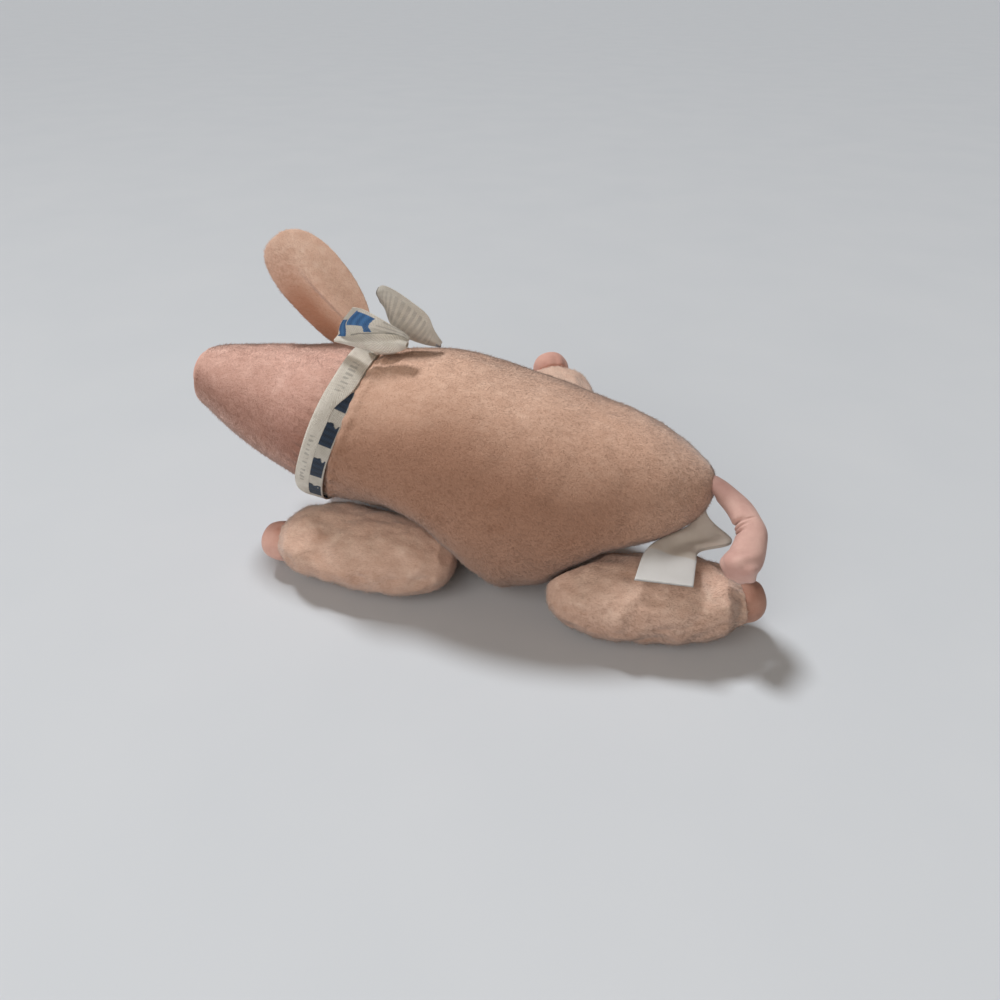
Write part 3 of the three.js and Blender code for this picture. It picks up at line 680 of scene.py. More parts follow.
# %% A bag round its stations
class Spine:
    """A bag's stations, read at any share along it or at any x."""

    def __init__(self, shares, start, length, height, width):
        self.stations = [(start + a * length, m * height, r * width) for a, m, r, _ in shares]
        self.depths = [(row[3],) for row in shares]
        fine = np.linspace(0, 1, 2000)
        x, middle, radius, depth = self.at(fine)
        order = np.argsort(x)
        self.table = x[order], middle[order], radius[order], depth[order]

    def at(self, along):
        x, middle, radius = smooth_run(self.stations, along).T
        radius = np.maximum(radius, 0)
        return x, middle, radius, radius * smooth_run(self.depths, along)[:, 0]

    def at_x(self, x):
        places, middle, radius, depth = self.table
        return np.interp(x, places, middle), np.interp(x, places, radius), np.interp(x, places, depth)

    def skin(self, along, angle, grow=0.0):
        """Points on the bag's skin; angle 0 is the top and a quarter turn is its right."""
        x, middle, radius, depth = self.at(along)
        radius = np.where(radius > 0, np.maximum(radius + grow, 0), 0)
        depth = np.where(depth > 0, np.maximum(depth + grow, 0), 0)
        upright = np.where(np.cos(angle) > 0, radius, depth)
        return np.stack([x, radius * np.sin(angle), middle + upright * np.cos(angle)], axis=1)

    def outside(self, points, gap):
        """Points that lie in the bag, moved straight out to a gap off its skin."""
        middle, radius, depth = self.at_x(points[:, 0])
        rise = points[:, 2] - middle
        upright = np.where(rise > 0, radius, depth)
        share = np.hypot(points[:, 1] / (radius + gap), rise / (upright + gap))
        grown = np.where((share < 1) & (radius > 0), 1 / np.maximum(share, 0.05), 1)
        moved = points.copy()
        moved[:, 1] *= grown
        moved[:, 2] = middle + rise * grown
        return moved

body_spine = Spine(body_station_shares, body_front, body_length, body_centre_height, body_radius)
head_spine = Spine(head_station_shares, head_back, -head_length, snout_height, neck_radius)

# %% [markdown]
# The neck seam is a tilted plane. Cloth is drawn in by the ribbon there, so both covers narrow
# towards it, and small gathers run out from it.

# %% The neck seam
neck_point = np.array([neck_x, 0, neck_height])
neck_forward = np.array([-math.cos(neck_tilt), 0, math.sin(neck_tilt)])
neck_along_seam = np.array([math.sin(neck_tilt), 0, math.cos(neck_tilt)])
neck_pinch, neck_pinch_reach = 1.6 * mm, 5.5 * mm
gather_depth, neck_gathers = 0.2 * mm, 34
seam_ridge, seam_ridge_place, seam_ridge_width = 0.8 * mm, -6.4 * mm, 1.1 * mm

def drawn_in(points):
    """Pulls the cloth in near the neck seam, with small gathers."""
    off = points - neck_point
    distance = off @ neck_forward
    inwards = -(off - distance[:, None] * neck_forward)
    size = np.linalg.norm(inwards, axis=1)
    inwards /= np.maximum(size, 1e-9)[:, None]
    near = np.exp(-(distance / neck_pinch_reach) ** 2)
    round_neck = np.arctan2(off[:, 1], off @ neck_along_seam)
    gathers = np.sin(round_neck * neck_gathers + 4 * lumps(points, 14 * mm, 5))
    pull = near * np.minimum(neck_pinch, size) + near * (1 - near) * 4 * gather_depth * gathers
    pull -= seam_ridge * np.exp(-((distance - seam_ridge_place) / seam_ridge_width) ** 2)
    return points + inwards * pull[:, None]

def off_floor(points):
    points = points.copy()
    points[:, 2] = np.maximum(points[:, 2], floor_clearance)
    return points

# %% A skin with the lumps that stuffing leaves
wide_lump, small_lump = (0.55 * mm, 16 * mm), (0.22 * mm, 5 * mm)

def soft_skin(spine, along, angle, seed):
    """The skin under the pile."""
    points = spine.skin(along, angle, -pile_depth)
    bumps = lumped(points, (wide_lump, small_lump), seed)
    middle, _, _ = spine.at_x(points[:, 0])
    out = np.stack([0 * middle, points[:, 1], points[:, 2] - middle], axis=1)
    return points + unit(out) * bumps[:, None]

# %% The body's cover
body_rows, body_sides = 170, 230
seam_gap = 0.15 * mm

def dress(piece, node, body):
    """Says which solid a piece stands for and what it moves with."""
    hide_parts(node)
    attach(piece, body)
    print(piece.name, "has", len(piece.data.polygons), "faces")

body_points, body_faces = round_form(
    body_rows, body_sides, lambda along, angle: soft_skin(body_spine, along, angle, 11),
)
body_points = off_floor(drawn_in(body_points))
body_seam = (neck_point - seam_gap * neck_forward, neck_forward)
body_cover = new_piece("body_plush_cover", body_points, body_faces, [body_seam])
body_cover.data.materials.append(plush["body"])
dress(body_cover, "body_cover", "body")

# %% Where the body's pile stands
ribbon_cover_head, ribbon_cover_body = 3.4 * mm, -4.8 * mm
belly_bare = 2 * mm

def body_nap(points):
    """The nap runs back from the neck and a little down the sides."""
    even = np.ones(len(points))
    return np.stack([even, 0.25 * points[:, 1] / body_radius, -0.45 * even], axis=1)

def off_the_ribbon(points):
    distance = (points - neck_point) @ neck_forward
    return (distance > ribbon_cover_head) | (distance < ribbon_cover_body)

def on_body(points):
    return (points[:, 2] > belly_bare) & off_the_ribbon(points)

def on_left_side(points):
    return on_body(points) & (points[:, 1] < 0)

def on_right_side(points):
    return on_body(points) & (points[:, 1] >= 0)

# %% The body's pile
body_side_spikes = 48000
rump_start, rump_end = 30 * mm, 60 * mm

def body_painted_shade(points):
    """Painted shade: browner down the flanks, away from the light and where the pile is seen against its
    nap; less on the rump.
    """
    height, radius, _ = body_spine.at_x(points[:, 0])
    rise = (points[:, 2] - height) / np.maximum(radius, 1 * mm) + 0.15 * lumps(points, 18 * mm, 24)
    less_shade_on_rump = 1 - 0.5 * step_between(points[:, 0], rump_start, rump_end)
    # Painted shade: strong low on the flanks, fading towards the back, eased on the rump.
    return 0.95 * (1 - step_between(rise, 0.38, 1.12)) * less_shade_on_rump

mark(body_cover, "painted_shade", body_painted_shade(points_of(body_cover)))
for side, keep, seed in (("left", on_left_side, 21), ("right", on_right_side, 26)):
    name = f"body_{side}_pile"
    body_pile = sow_pile(name, body_cover, body_side_spikes, body_nap, "body", seed, keep, body_painted_shade)
    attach(body_pile, "body")

# %% [markdown]
# The head is a blunt cone. Its skin is cut off at the neck seam and at the flat of the snout,
# where the nose pad is sewn on.

# %% The head's cover
head_rows, head_sides = 130, 200
snout_forward = np.array([-math.cos(snout_tilt), 0, math.sin(snout_tilt)])
snout_up = np.array([math.sin(snout_tilt), 0, math.cos(snout_tilt)])
snout_x = head_back - head_length + snout_pad_thickness + cover_wall
snout_point = np.array([snout_x, 0, snout_height])
head_points, head_faces = round_form(
    head_rows, head_sides, lambda along, angle: soft_skin(head_spine, along, angle, 31),
)
head_seam = (neck_point + seam_gap * neck_forward, -neck_forward)
snout_cut = (snout_point, snout_forward)
head_cover = new_piece("head_plush_cover", drawn_in(head_points), head_faces, [head_seam, snout_cut])
head_cover.data.materials.append(plush["head"])
dress(head_cover, "head_cover", "head")

# %% The head's pile
head_spikes = 46000
pad_margin = 0.5 * mm

def head_nap(points):
    """The nap runs back from the snout."""
    return np.tile([1.0, 0.0, -0.3], (len(points), 1))

def on_head(points):
    return ((points - snout_point) @ snout_forward < -pad_margin) & off_the_ribbon(points)

def head_painted_shade(points):
    """Painted shade, redder, along the side of the head, in patches of random strength."""
    height, radius, _ = head_spine.at_x(points[:, 0])
    side = 1 - np.abs((points[:, 2] - height) / radius - 0.1)
    patches = 0.5 + 0.5 * lumps(points, 13 * mm, 44)
    return np.clip(1.4 * side - 0.2, 0, 1) * (0.55 + 0.3 * patches)

mark(head_cover, "painted_shade", head_painted_shade(points_of(head_cover)))
head_pile = sow_pile(
    "head_plush_pile", head_cover, head_spikes, head_nap, "head", 41, on_head, head_painted_shade,
)
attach(head_pile, "head")

# %% [markdown]
# ## Legs
#
# A leg is a loose pouch that lies on the floor and leans against the belly. It is shaped as
# the solid is, and then pushed off the body at every turn of its hinge, as a bag of pellets
# makes way for what leans on it. Lumps of three sizes stand for the heap of pellets, for the
# single ones that press on the cloth, and for the locks of the pile. A cloth simulation would
# do the same, but this way the leg keeps exactly to its solid. A dimple in the table below is
# a share along the leg, an angle round it in radians and a width in millimetres.

# %% The four legs
leg_width, leg_height, leg_taper, leg_fullness = 32 * mm, 26.5 * mm, 0.2, 0.72
hoof_plane_share, hoof_radius = 0.87, 6.8 * mm
leg_swing = math.radians(60)
sweep_gap = 1.1 * mm
hoof_turn = math.radians(14)
legs = {
    "left_foreleg": {
        "length": 67 * mm, "hip": (-10 * mm, -22 * mm), "heading": 180, "lift": 0, "swing": 1,
        "hoof": (0, 0, -3 * mm), "dimples": ((0.6, 1.1, 5), (0.42, 1.2, 4)), "shade_and_wear": (0.62, 1.2),
    },
    "right_foreleg": {
        "length": 67 * mm, "hip": (-10 * mm, 22 * mm), "heading": 180, "lift": 0, "swing": -1,
        "hoof": (0, 0, -3 * mm), "dimples": ((0.4, -1.4, 5),), "shade_and_wear": (0.3, 1.0),
    },
    "left_hind_leg": {
        "length": 65.5 * mm, "hip": (20 * mm, -27.5 * mm), "heading": 10, "lift": 0, "swing": -1,
        "hoof": (hoof_turn, 1.5 * mm, -1 * mm), "dimples": ((0.5, -1.9, 5),),
        "shade_and_wear": (0.36, -0.45),
    },
    "right_hind_leg": {
        "length": 65.5 * mm, "hip": (20 * mm, 27.5 * mm), "heading": 115, "lift": 28, "swing": -1,
        "hoof": (0, 0, 0), "dimples": ((0.4, 1.0, 4),), "shade_and_wear": (0.86, -0.9),
    },
}

def hoof_seat(leg):
    """Where the hoof sits on the leg, and which way it points, in the leg's own frame."""
    turn, aside, rise = leg["hoof"]
    seat = np.array([leg["length"] * hoof_plane_share, aside, leg_height / 2 - foot_flat + rise])
    return seat, np.array([math.cos(turn), math.sin(turn), 0])

def turned(points, angle, centre):
    """Points turned about an upright line through centre."""
    x, y = points[:, 0] - centre[0], points[:, 1] - centre[1]
    cos, sin = math.cos(angle), math.sin(angle)
    return np.stack([centre[0] + x * cos - y * sin, centre[1] + x * sin + y * cos, points[:, 2]], axis=1)

def leg_to_pig(leg, points):
    """From the leg's own frame, along its length and up, to the pig's."""
    lift, heading = math.radians(leg["lift"]), math.radians(leg["heading"])
    x = points[:, 0] * math.cos(lift) - points[:, 2] * math.sin(lift)
    z = points[:, 0] * math.sin(lift) + points[:, 2] * math.cos(lift)
    placed = np.stack([x + leg["hip"][0], points[:, 1] + leg["hip"][1], z], axis=1)
    return turned(placed, heading, leg["hip"])

def beside_body(leg, points, gap):
    """Pushes a leg's points off the body wherever its hinge turns it."""
    for angle in np.linspace(0, leg["swing"] * leg_swing, 7):
        points = turned(points, angle, leg["hip"])
        points = body_spine.outside(points, gap)
        points = turned(points, -angle, leg["hip"])
    return points

# %% A leg's pouch
shoulder_start_share, shoulder_end_share = 0.8, 0.885
shoulder_narrowing = 0.26
leg_gathers, leg_gather_depth = 16, 0.15 * mm
heap_lumps, bead_lumps, fine_lumps = (0.8 * mm, 12 * mm), (0.7 * mm, 4.5 * mm), (0.3 * mm, 2 * mm)
fine_stretch = np.array([0.6, 1, 1])
slump, dimple_depth = 0.6 * mm, 1.2 * mm

def pouch(leg, along, angle, grow, seed):
    """The skin of a leg's pouch in its own frame, gathered round the hoof."""
    reach = (1 - np.cos(math.pi * along)) / 2
    swell = np.sin(math.pi * along) ** leg_fullness * (1 + leg_taper * (0.5 - reach))
    closing = step_between(reach, shoulder_start_share, shoulder_end_share)
    swell = swell * (1 - shoulder_narrowing * closing)
    gathers = leg_gather_depth * np.sin(leg_gathers * angle + seed) * step_between(reach, 0.72, 0.86)
    half_width = (leg_width / 2 + grow) * swell + gathers
    half_height = (leg_height / 2 + grow) * swell + gathers
    middle = leg_height / 2 - foot_flat
    points = np.stack([
        -grow + reach * (leg["length"] + 2 * grow),
        half_width * np.sin(angle),
        middle + half_height * np.cos(angle),
    ], axis=1)
    out = np.stack([0 * reach, np.sin(angle), np.cos(angle)], axis=1)
    bumps = lumped(points, (heap_lumps, bead_lumps), seed)
    bumps = bumps + lumped(points * fine_stretch, [fine_lumps], seed + 2) - slump
    for place, turn, width in leg["dimples"]:
        off = ((reach - place) * leg["length"] / mm / width) ** 2
        off = off + ((np.cos(angle - turn) - 1) * leg_width / mm / width) ** 2
        bumps = bumps - dimple_depth * np.exp(-off)
    return points + out * (bumps * np.minimum(swell * 2, 1))[:, None]

# %% The pile on a leg
leg_spikes, leg_pile_length = 20000, 1.15 * mm
dark_spot_width = 2.6 * mm

def leg_nap(leg):
    """The nap runs from the hip to the hoof, and a little down."""
    ahead, hip = leg_to_pig(leg, np.array([[leg["length"], 0, 0], [0, 0, 0]]))
    direction = (ahead - hip) / np.linalg.norm(ahead - hip) + np.array([0, 0, -0.2])
    return lambda points: np.tile(direction, (len(points), 1))

def leg_painted_shade(leg):
    """Painted shade low down, and one small darker spot on the leg's upper side."""
    place, side = leg["shade_and_wear"]
    seat = np.array([[leg["length"] * place, side * leg_width / 4, leg_height * 0.85]])
    spot = leg_to_pig(leg, seat)[0]

    def painted_shade(points):
        blotch = 0.8 * np.exp(-(np.linalg.norm(points - spot, axis=1) / dark_spot_width) ** 2)
        # Painted shade: browner low down, towards the floor.
        low = 1 - step_between(points[:, 2] + 2 * mm * lumps(points, 8 * mm, 45), 3 * mm, 24 * mm)
        return np.maximum(blotch, 0.6 * low)

    return painted_shade

# %% Making the legs
leg_rows, leg_sides = 96, 120
hoof_margin, sole_bare = 0.3 * mm, 1.5 * mm

def make_leg(name, leg, seed):
    points, faces = round_form(
        leg_rows, leg_sides, lambda along, angle: pouch(leg, along, angle, -pile_depth, seed),
    )
    seat, way = hoof_seat(leg)
    seat_spot, ahead = leg_to_pig(leg, np.array([seat, seat + way]))
    way_out = ahead - seat_spot
    points = off_floor(beside_body(leg, leg_to_pig(leg, points), sweep_gap))
    cover = new_piece(f"{name}_plush", points, faces, [(seat_spot, way_out)])
    cover.data.materials.append(plush["leg"])
    painted_shade = leg_painted_shade(leg)
    mark(cover, "painted_shade", painted_shade(points_of(cover)))
    dress(cover, f"{name}_cover", name)

    def behind_hoof(spots):
        return ((spots - seat_spot) @ way_out < -hoof_margin) & (spots[:, 2] > sole_bare)

    pile = sow_pile(
        f"{name}_pile", cover, leg_spikes, leg_nap(leg), "leg", seed + 3, behind_hoof, painted_shade,
        leg_pile_length,
    )
    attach(pile, name)

for number, (name, leg) in enumerate(legs.items()):
    make_leg(name, leg, 51 + 10 * number)

# %% [markdown]
# ## Hoofs
#
# A hoof is a small cap of smooth pink cloth. The cloth has a fine knit, a slight sheen and
# soft creases where it goes into the plush. The same finish serves the hoofs, the ears'
# linings, the nose and the tail, in four pinks: one for the tail, a darker one for the left
# hind hoof, a paler one for the right hind hoof, and one for the rest. It is painted browner
# where a piece is marked as creased, as shade in its folds.

# %% Smooth pink cloth
cloth_patch, cloth_knit, cloth_relief = 6 * mm, 0.35 * mm, 0.25 * mm
crease_shade_brown = paint(116, 78, 68)

def smooth_cloth(name, pale, deep):
    """Fine pink knit, paler and deeper in patches."""
    finish = Finish(name, Roughness=0.75, Specular_IOR_Level=0.25, Sheen_Weight=0.2, Sheen_Roughness=0.5)
    broad = finish.noise(cloth_patch, detail=3)
    fine = finish.noise(cloth_knit, detail=2)
    mixed = finish.blend((broad - 0.3) * 1.8, deep, pale)
    knitted = finish.blend((fine - 0.4) * 0.5, mixed, deep)
    # Painted shade: browner where the piece is marked as creased.
    finish.colour(finish.blend(finish.marked("crease") * 0.7, knitted, crease_shade_brown))
    finish.bump(fine * 0.6 + broad * 0.4, cloth_relief)
    return finish.material

pink_cloth = smooth_cloth("smooth_pink_cloth", paint(234, 194, 180), paint(210, 158, 142))
tail_cloth = smooth_cloth("tail_pink_cloth", paint(230, 194, 182), paint(200, 158, 148))
hoof_cloths = {
    "left_hind_leg": smooth_cloth("darker_pink_cloth", paint(208, 166, 148), paint(180, 132, 114)),
    "right_hind_leg": smooth_cloth("paler_pink_cloth", paint(234, 188, 172), paint(208, 154, 140)),
}

# %% Hoof caps
hoof_outline_shares = [(0, 0), (0.92, 0), (1, 0.2), (0.98, 0.5), (0.78, 0.82), (0.4, 0.97), (0, 1)]
hoof_lumps, hoof_lump_reach = (0.3 * mm, 4 * mm), np.array([0, 0.7, 0.7])

def make_hoof(name, leg, seed):
    seat, way = hoof_seat(leg)
    length = leg["length"] * (1 - hoof_plane_share)

    def place(along, angle):
        ring = smooth_run(hoof_outline_shares, along)
        radius = np.maximum(ring[:, 0], 0) * (hoof_radius - 0.2 * mm)
        crease = 1 - 0.05 * np.sin(9 * angle + seed) * (1 - ring[:, 1]) ** 2
        reach = cloth_gap + ring[:, 1] * length
        aside = radius * crease * np.sin(angle)
        return seat + np.stack([
            reach * way[0] - aside * way[1],
            reach * way[1] + aside * way[0],
            radius * crease * np.cos(angle),
        ], axis=1)

    points, faces = round_form(40, 56, place)
    points = points + lumped(points, [hoof_lumps], seed)[:, None] * hoof_lump_reach
    hoof = new_piece(f"{name}_hoof_cap", off_floor(leg_to_pig(leg, points)), faces)
    hoof.data.materials.append(hoof_cloths.get(name, pink_cloth))
    dress(hoof, f"{name}_hoof", name)

for number, (name, leg) in enumerate(legs.items()):
    make_hoof(name, leg, 3 * number)

# %% [markdown]
# ## Ears
#
# An ear is a leaf of plush with a lining on its inner face. The left one stands up and shows
# its back, with one soft fold along it; the right one lies forward beside the head. One
# function makes the leaf and its lining, so both cup and fold alike. The fold is a step that
# rises fast and falls off slowly, as a crease in thick cloth does.

# %% Where the ears are sewn on
ear_length, ear_width, ear_thickness, ear_cup, ear_sunk = 41 * mm, 26 * mm, 3 * mm, 3 * mm, 3 * mm
ear_spread, ear_lean, ear_droop = math.radians(32), math.radians(40), math.radians(2)
ear_seat_lift = 1.4 * mm
lining_thickness, lining_length_share, lining_width_share = 0.8 * mm, 0.74, 0.68
lining_start_share = 0.75
ribbon_clearance = 4.6 * mm

def on_head_skin(x, angle, lift):
    """A point lifted off the head's skin, and the way out there."""
    probe = 2.4 * mm
    height, radius, _ = head_spine.at_x(np.array([x, x + probe]))
    slope, rise = (radius[1] - radius[0]) / probe, (height[1] - height[0]) / probe
    out = np.array([-slope - rise * math.cos(angle), math.sin(angle), math.cos(angle)])
    out /= np.linalg.norm(out)
    spot = np.array([x, radius[0] * math.sin(angle), height[0] + radius[0] * math.cos(angle)])
    return spot + out * lift, out

ears = {
    "left": {
        "root": on_head_skin(-51 * mm, face_roll - ear_spread, cloth_gap)[0],
        "axis": np.array([-math.sin(ear_lean), 0, math.cos(ear_lean)]),
        "face": np.array([0.0, 1.0, 0.0]),
        "fold": 1.0, "cuts": [(neck_point + ribbon_clearance * neck_forward, -neck_forward)],
    },
    "right": {
        "root": on_head_skin(-60 * mm, face_roll + ear_spread, ear_seat_lift)[0],
        "axis": np.array([-math.cos(ear_droop), math.sin(ear_droop), 0]),
        "face": np.array([-math.sin(ear_droop), -math.cos(ear_droop), 0]),
        "fold": 0.2, "cuts": [],
    },
}

# %% The leaf of an ear
fold_depth, fold_width, fold_edge = 2.4 * mm, 8 * mm, 1.5 * mm
fold_start_share, fold_slant_share = 0.02, 0.1

def leaf(ear, along, angle, size):
    """Points of a leaf that grows from the ear's root; size says how long, wide and thick."""
    across = np.cross(ear["face"], ear["axis"])
    swell = np.sin(math.pi * along) ** 0.8 * (0.75 + along / 2)
    reach = (1 - np.cos(math.pi * along)) / 2
    sideways = np.sin(angle) * swell * size["width"] / 2
    cup = ear_cup * (2 * sideways / ear_width) ** 2
    through = np.cos(angle) * np.minimum(swell, 1) * size["thickness"] / 2
    past_fold = sideways - ear_width * (fold_start_share + fold_slant_share * (1 - reach))
    fold = step_between(past_fold, -fold_edge, fold_edge)
    fold = fold * (1 - 0.8 * step_between(past_fold, fold_edge, fold_width))
    fold = fold_depth * ear["fold"] * fold * (1 - step_between(reach, 0.55, 0.85))
    lengthwise = size["start"] + reach * size["length"]
    return (ear["root"] + lengthwise[:, None] * ear["axis"] + sideways[:, None] * across
            + (through + size["lift"] + cup - fold)[:, None] * ear["face"])

# %% An ear's leaf and its lining
leaf_size = {
    "start": -ear_sunk, "length": ear_length + ear_sunk - pile_depth,
    "width": ear_width - 2 * pile_depth, "thickness": ear_thickness - 0.8 * mm, "lift": 0,
}
lining_size = {
    "start": ear_length * (1 - lining_length_share) * lining_start_share,
    "length": ear_length * lining_length_share, "width": ear_width * lining_width_share,
    "thickness": lining_thickness, "lift": (ear_thickness + lining_thickness) / 2 + 2 * cloth_gap,
}
leaf_lumps = (0.3 * mm, 7 * mm)

def make_leaf(side, ear, seed):
    points, faces = round_form(90, 96, lambda along, angle: leaf(ear, along, angle, leaf_size))
    points = points + lumped(points, [leaf_lumps], seed)[:, None] * ear["face"]
    plush_leaf = new_piece(f"{side}_ear_plush", points, faces, ear["cuts"])
    plush_leaf.data.materials.append(plush["ear"])
    dress(plush_leaf, f"{side}_ear", f"{side}_ear")
    return plush_leaf

def make_lining(side, ear):
    points, faces = round_form(70, 80, lambda along, angle: leaf(ear, along, angle, lining_size))
    lining = new_piece(f"{side}_ear_lining_cloth", points, faces)
    lining.data.materials.append(pink_cloth)
    dress(lining, f"{side}_ear_lining", f"{side}_ear")

# %% The ears with their pile
ear_spikes, ear_root_bare = 14000, 0.5 * mm
ear_seeds = {"left": 91, "right": 101}

def make_ear(side, ear, seed):
    plush_leaf = make_leaf(side, ear, seed)
    across = np.cross(ear["face"], ear["axis"])

    def nap(spots):
        return np.tile(ear["axis"], (len(spots), 1))

    def outside_head(spots):
        return (spots - ear["root"]) @ ear["axis"] > ear_root_bare

    def painted_shade(spots):
        """Painted shade, orange-brown, at the base of the ear and in patches up its front edge."""
        off = spots - ear["root"]
        reach = off @ ear["axis"] / ear_length
        patches = 0.5 + 0.5 * lumps(spots, 7 * mm, seed + 5)
        front = step_between(-off @ across / ear_width, -0.2, 0.25)
        return (1 - step_between(reach, 0.4, 1.1)) * (0.02 + 0.88 * front) + 0.25 * front * patches

    mark(plush_leaf, "painted_shade", painted_shade(points_of(plush_leaf)))
    pile = sow_pile(f"{side}_ear_pile", plush_leaf, ear_spikes, nap, "ear", seed + 1, outside_head, painted_shade)
    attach(pile, f"{side}_ear")
    make_lining(side, ear)

for side, ear in ears.items():
    make_ear(side, ear, ear_seeds[side])

# %% [markdown]
# ## Tail
#
# The tail is a tube of smooth pink cloth, lightly stuffed, that comes out of the rump, curls
# round and ends over the left hind leg. A curve with a bevel would make a tube too, but a
# perfect one. Here every ring's radius is worked out, because cloth on the inside of a bend
# has nowhere to go, so it folds there, and it puckers where its end is gathered.

# %% The tail's path
tail_radius, tail_taper = 5.6 * mm, 2.5 * mm
tail_root = np.array([63, 0, 42]) * mm
tail_reach, tail_spread, tail_drop = 13.5 * mm, 26 * mm, 13.2 * mm
tail_shares = [
    (0, 0, 0), (0.34, 0.13, 0.07), (0.67, 0.26, 0.21), (0.89, 0.41, 0.38), (1, 0.56, 0.55),
    (0.95, 0.72, 0.79), (0.74, 1, 1),
]
tail_route = [
    tail_root + np.array([back * tail_reach, -left * tail_spread, -down * tail_drop])
    for back, left, down in tail_shares
]

def carried_frames(route, spots):
    """Places along a route, with a side and an up that turn with it as little as they can."""
    places = smooth_run(route, spots)
    ahead = unit(np.gradient(places, axis=0))
    side = np.cross(ahead[0], [0, 0, 1.0])
    sides = []
    for direction in ahead:
        side = side - direction * (side @ direction)
        side = side / np.linalg.norm(side)
        sides.append(side)
    sides = np.array(sides)
    return places, ahead, sides, np.cross(sides, ahead)

# %% The tail's folds and ends
tail_folds = ((0.49, 0.025, 1), (0.62, 0.025, 1), (0.555, 0.015, 0.8), (0.12, 0.03, 0.7))
tail_fold_depth, pucker_depth = 1.1 * mm, 0.35 * mm
tail_slack, tail_lumps = 0.35 * mm, (0.35 * mm, 6 * mm)
tail_cap_start, tail_root_end = 0.94, 0.02

def tail_ends(along):
    """1 along the tail, falling to 0 in a round cap at its end and in a cone at its root."""
    into_cap = (along - tail_cap_start) / (1 - tail_cap_start)
    cap = np.where(along > tail_cap_start, np.sqrt(np.maximum(1 - into_cap ** 2, 0)), 1)
    return cap * np.where(along < tail_root_end, along / tail_root_end, 1)

def tail_width(along, angle, spot, ring, bend):
    """The tail's radius at places along and round it, with its folds and puckers."""
    inner = np.clip((ring * bend).sum(axis=1), 0, 1)
    folds = sum(size * np.exp(-((along - at) / wide) ** 2) for at, wide, size in tail_folds)
    puckers = np.sin(6.5 * angle + 9 * lumps(spot, 9 * mm, 9)) * step_between(along, 0.8, 0.97)
    dents = tail_fold_depth * folds * inner + pucker_depth * puckers
    uneven = lumped(spot + ring * tail_radius, [tail_lumps], 8)
    return tail_radius - tail_taper * (1 - along) - tail_slack - dents + uneven

# %% The tail's tube
tail_rows, tail_sides = 150, 48
tail_places, tail_ahead, tail_right, tail_upward = carried_frames(
    tail_route, np.linspace(0, 1, tail_rows + 1),
)
tail_bend = unit(np.gradient(tail_ahead, axis=0))

def tail_skin(along, angle):
    row = np.minimum((along * tail_rows).round().astype(int), tail_rows)
    ring = tail_right[row] * np.cos(angle)[:, None] + tail_upward[row] * np.sin(angle)[:, None]
    radius = tail_width(along, angle, tail_places[row], ring, tail_bend[row]) * tail_ends(along)
    return tail_places[row] + ring * radius[:, None]

def tail_crease_shade(points):
    """Painted shade in the folds and at the root, found by how near the skin comes to the route."""
    off_route = np.linalg.norm(points[:, None] - tail_places[None], axis=2)
    nearest = off_route.argmin(axis=1) / tail_rows
    sunk = tail_radius - tail_taper * (1 - nearest) - off_route.min(axis=1)
    shade_in_folds = step_between(sunk, 0.6 * mm, 1.6 * mm) * (nearest < 0.93)
    return shade_in_folds + 0.65 * (1 - step_between(nearest, 0.08, 0.45))

tail = new_piece("curled_tail", *round_form(tail_rows, tail_sides, tail_skin))
mark(tail, "crease", tail_crease_shade(points_of(tail)))
tail.data.materials.append(tail_cloth)
dress(tail, "tail", "tail")

# %% [markdown]
# ## Label
#
# A folded satin tape is caught in the seam under the tail. It is blank here. It bends down to
# the left hind leg and ends in its fold, which catches the light; the fold is painted whiter,
# partly its white back and partly a painted highlight. The tape is modelled as it is: one strip
# that goes out, turns at the fold and comes back beneath itself.

# %% The label's tape
label_length, label_thickness = 30 * mm, 0.9 * mm
label_edge_shares = {
    "left": [(0, -0.1, 0.12), (-0.12, -0.3, 0.33), (-0.34, -0.53, 0.36), (-0.5, -0.77, 0.38)],
    "right": [(-0.02, -0.1, 0.36), (0.3, -0.3, 0.46), (0, -0.53, 0.47), (-0.02, -0.77, 0.44)],
}
label_fold_shares = {"left": (-0.56, -1.08), "right": (-0.02, -1.04)}
label_rest_height = leg_height - foot_flat + 2 * cloth_gap + label_thickness / 2

def label_edge(side):
    """One long edge of the tape, from the seam to its fold."""
    spots = [tail_root + np.array([back, left, -down]) * label_length
             for back, left, down in label_edge_shares[side]]
    back, left = label_fold_shares[side]
    fold = tail_root + np.array([back, left, 0]) * label_length
    return spots + [np.array([fold[0], fold[1], label_rest_height])]

# %% Satin
def satin_tape():
    """Blank satin: fine cross threads, faint stains, and whiter at the fold, partly its white back and
    partly a painted highlight.
    """
    finish = Finish("blank_satin_tape", Roughness=0.45, Specular_IOR_Level=0.4, Sheen_Weight=0.1)
    wide, long = finish.marked("across"), finish.marked("along")
    threads = (long * 2600).wave() * 0.5 + 0.5
    blotch = finish.noise(5 * mm, detail=3)
    mixed = finish.blend((blotch - 0.35) * 1.5, paint(248, 240, 228), paint(230, 220, 206))
    edge = (wide - 0.5) * (wide - 0.5) * 4
    mixed = finish.blend(edge.between(0.86, 0.93) * 0.5, mixed, paint(196, 192, 184))
    # Partly the white back and partly a painted highlight: the tape turns whiter towards its fold.
    finish.colour(finish.blend(long.between(0.7, 0.74), mixed, paint(252, 252, 250)))
    finish.bump(threads * 0.5 + blotch * 0.5, 0.12 * mm)
    return finish.material

# %% The folded tape
tape_thickness, tape_parting, tape_wave = 0.3 * mm, 0.7 * mm, 0.5 * mm
tape_fold_start, tape_fold_end = 0.46, 0.54

def out_and_back(v):
    """How far out a place is, when the tape goes out over v from 0 to 0.5 and then comes back."""
    return 1 - np.abs(2 * v - 1)

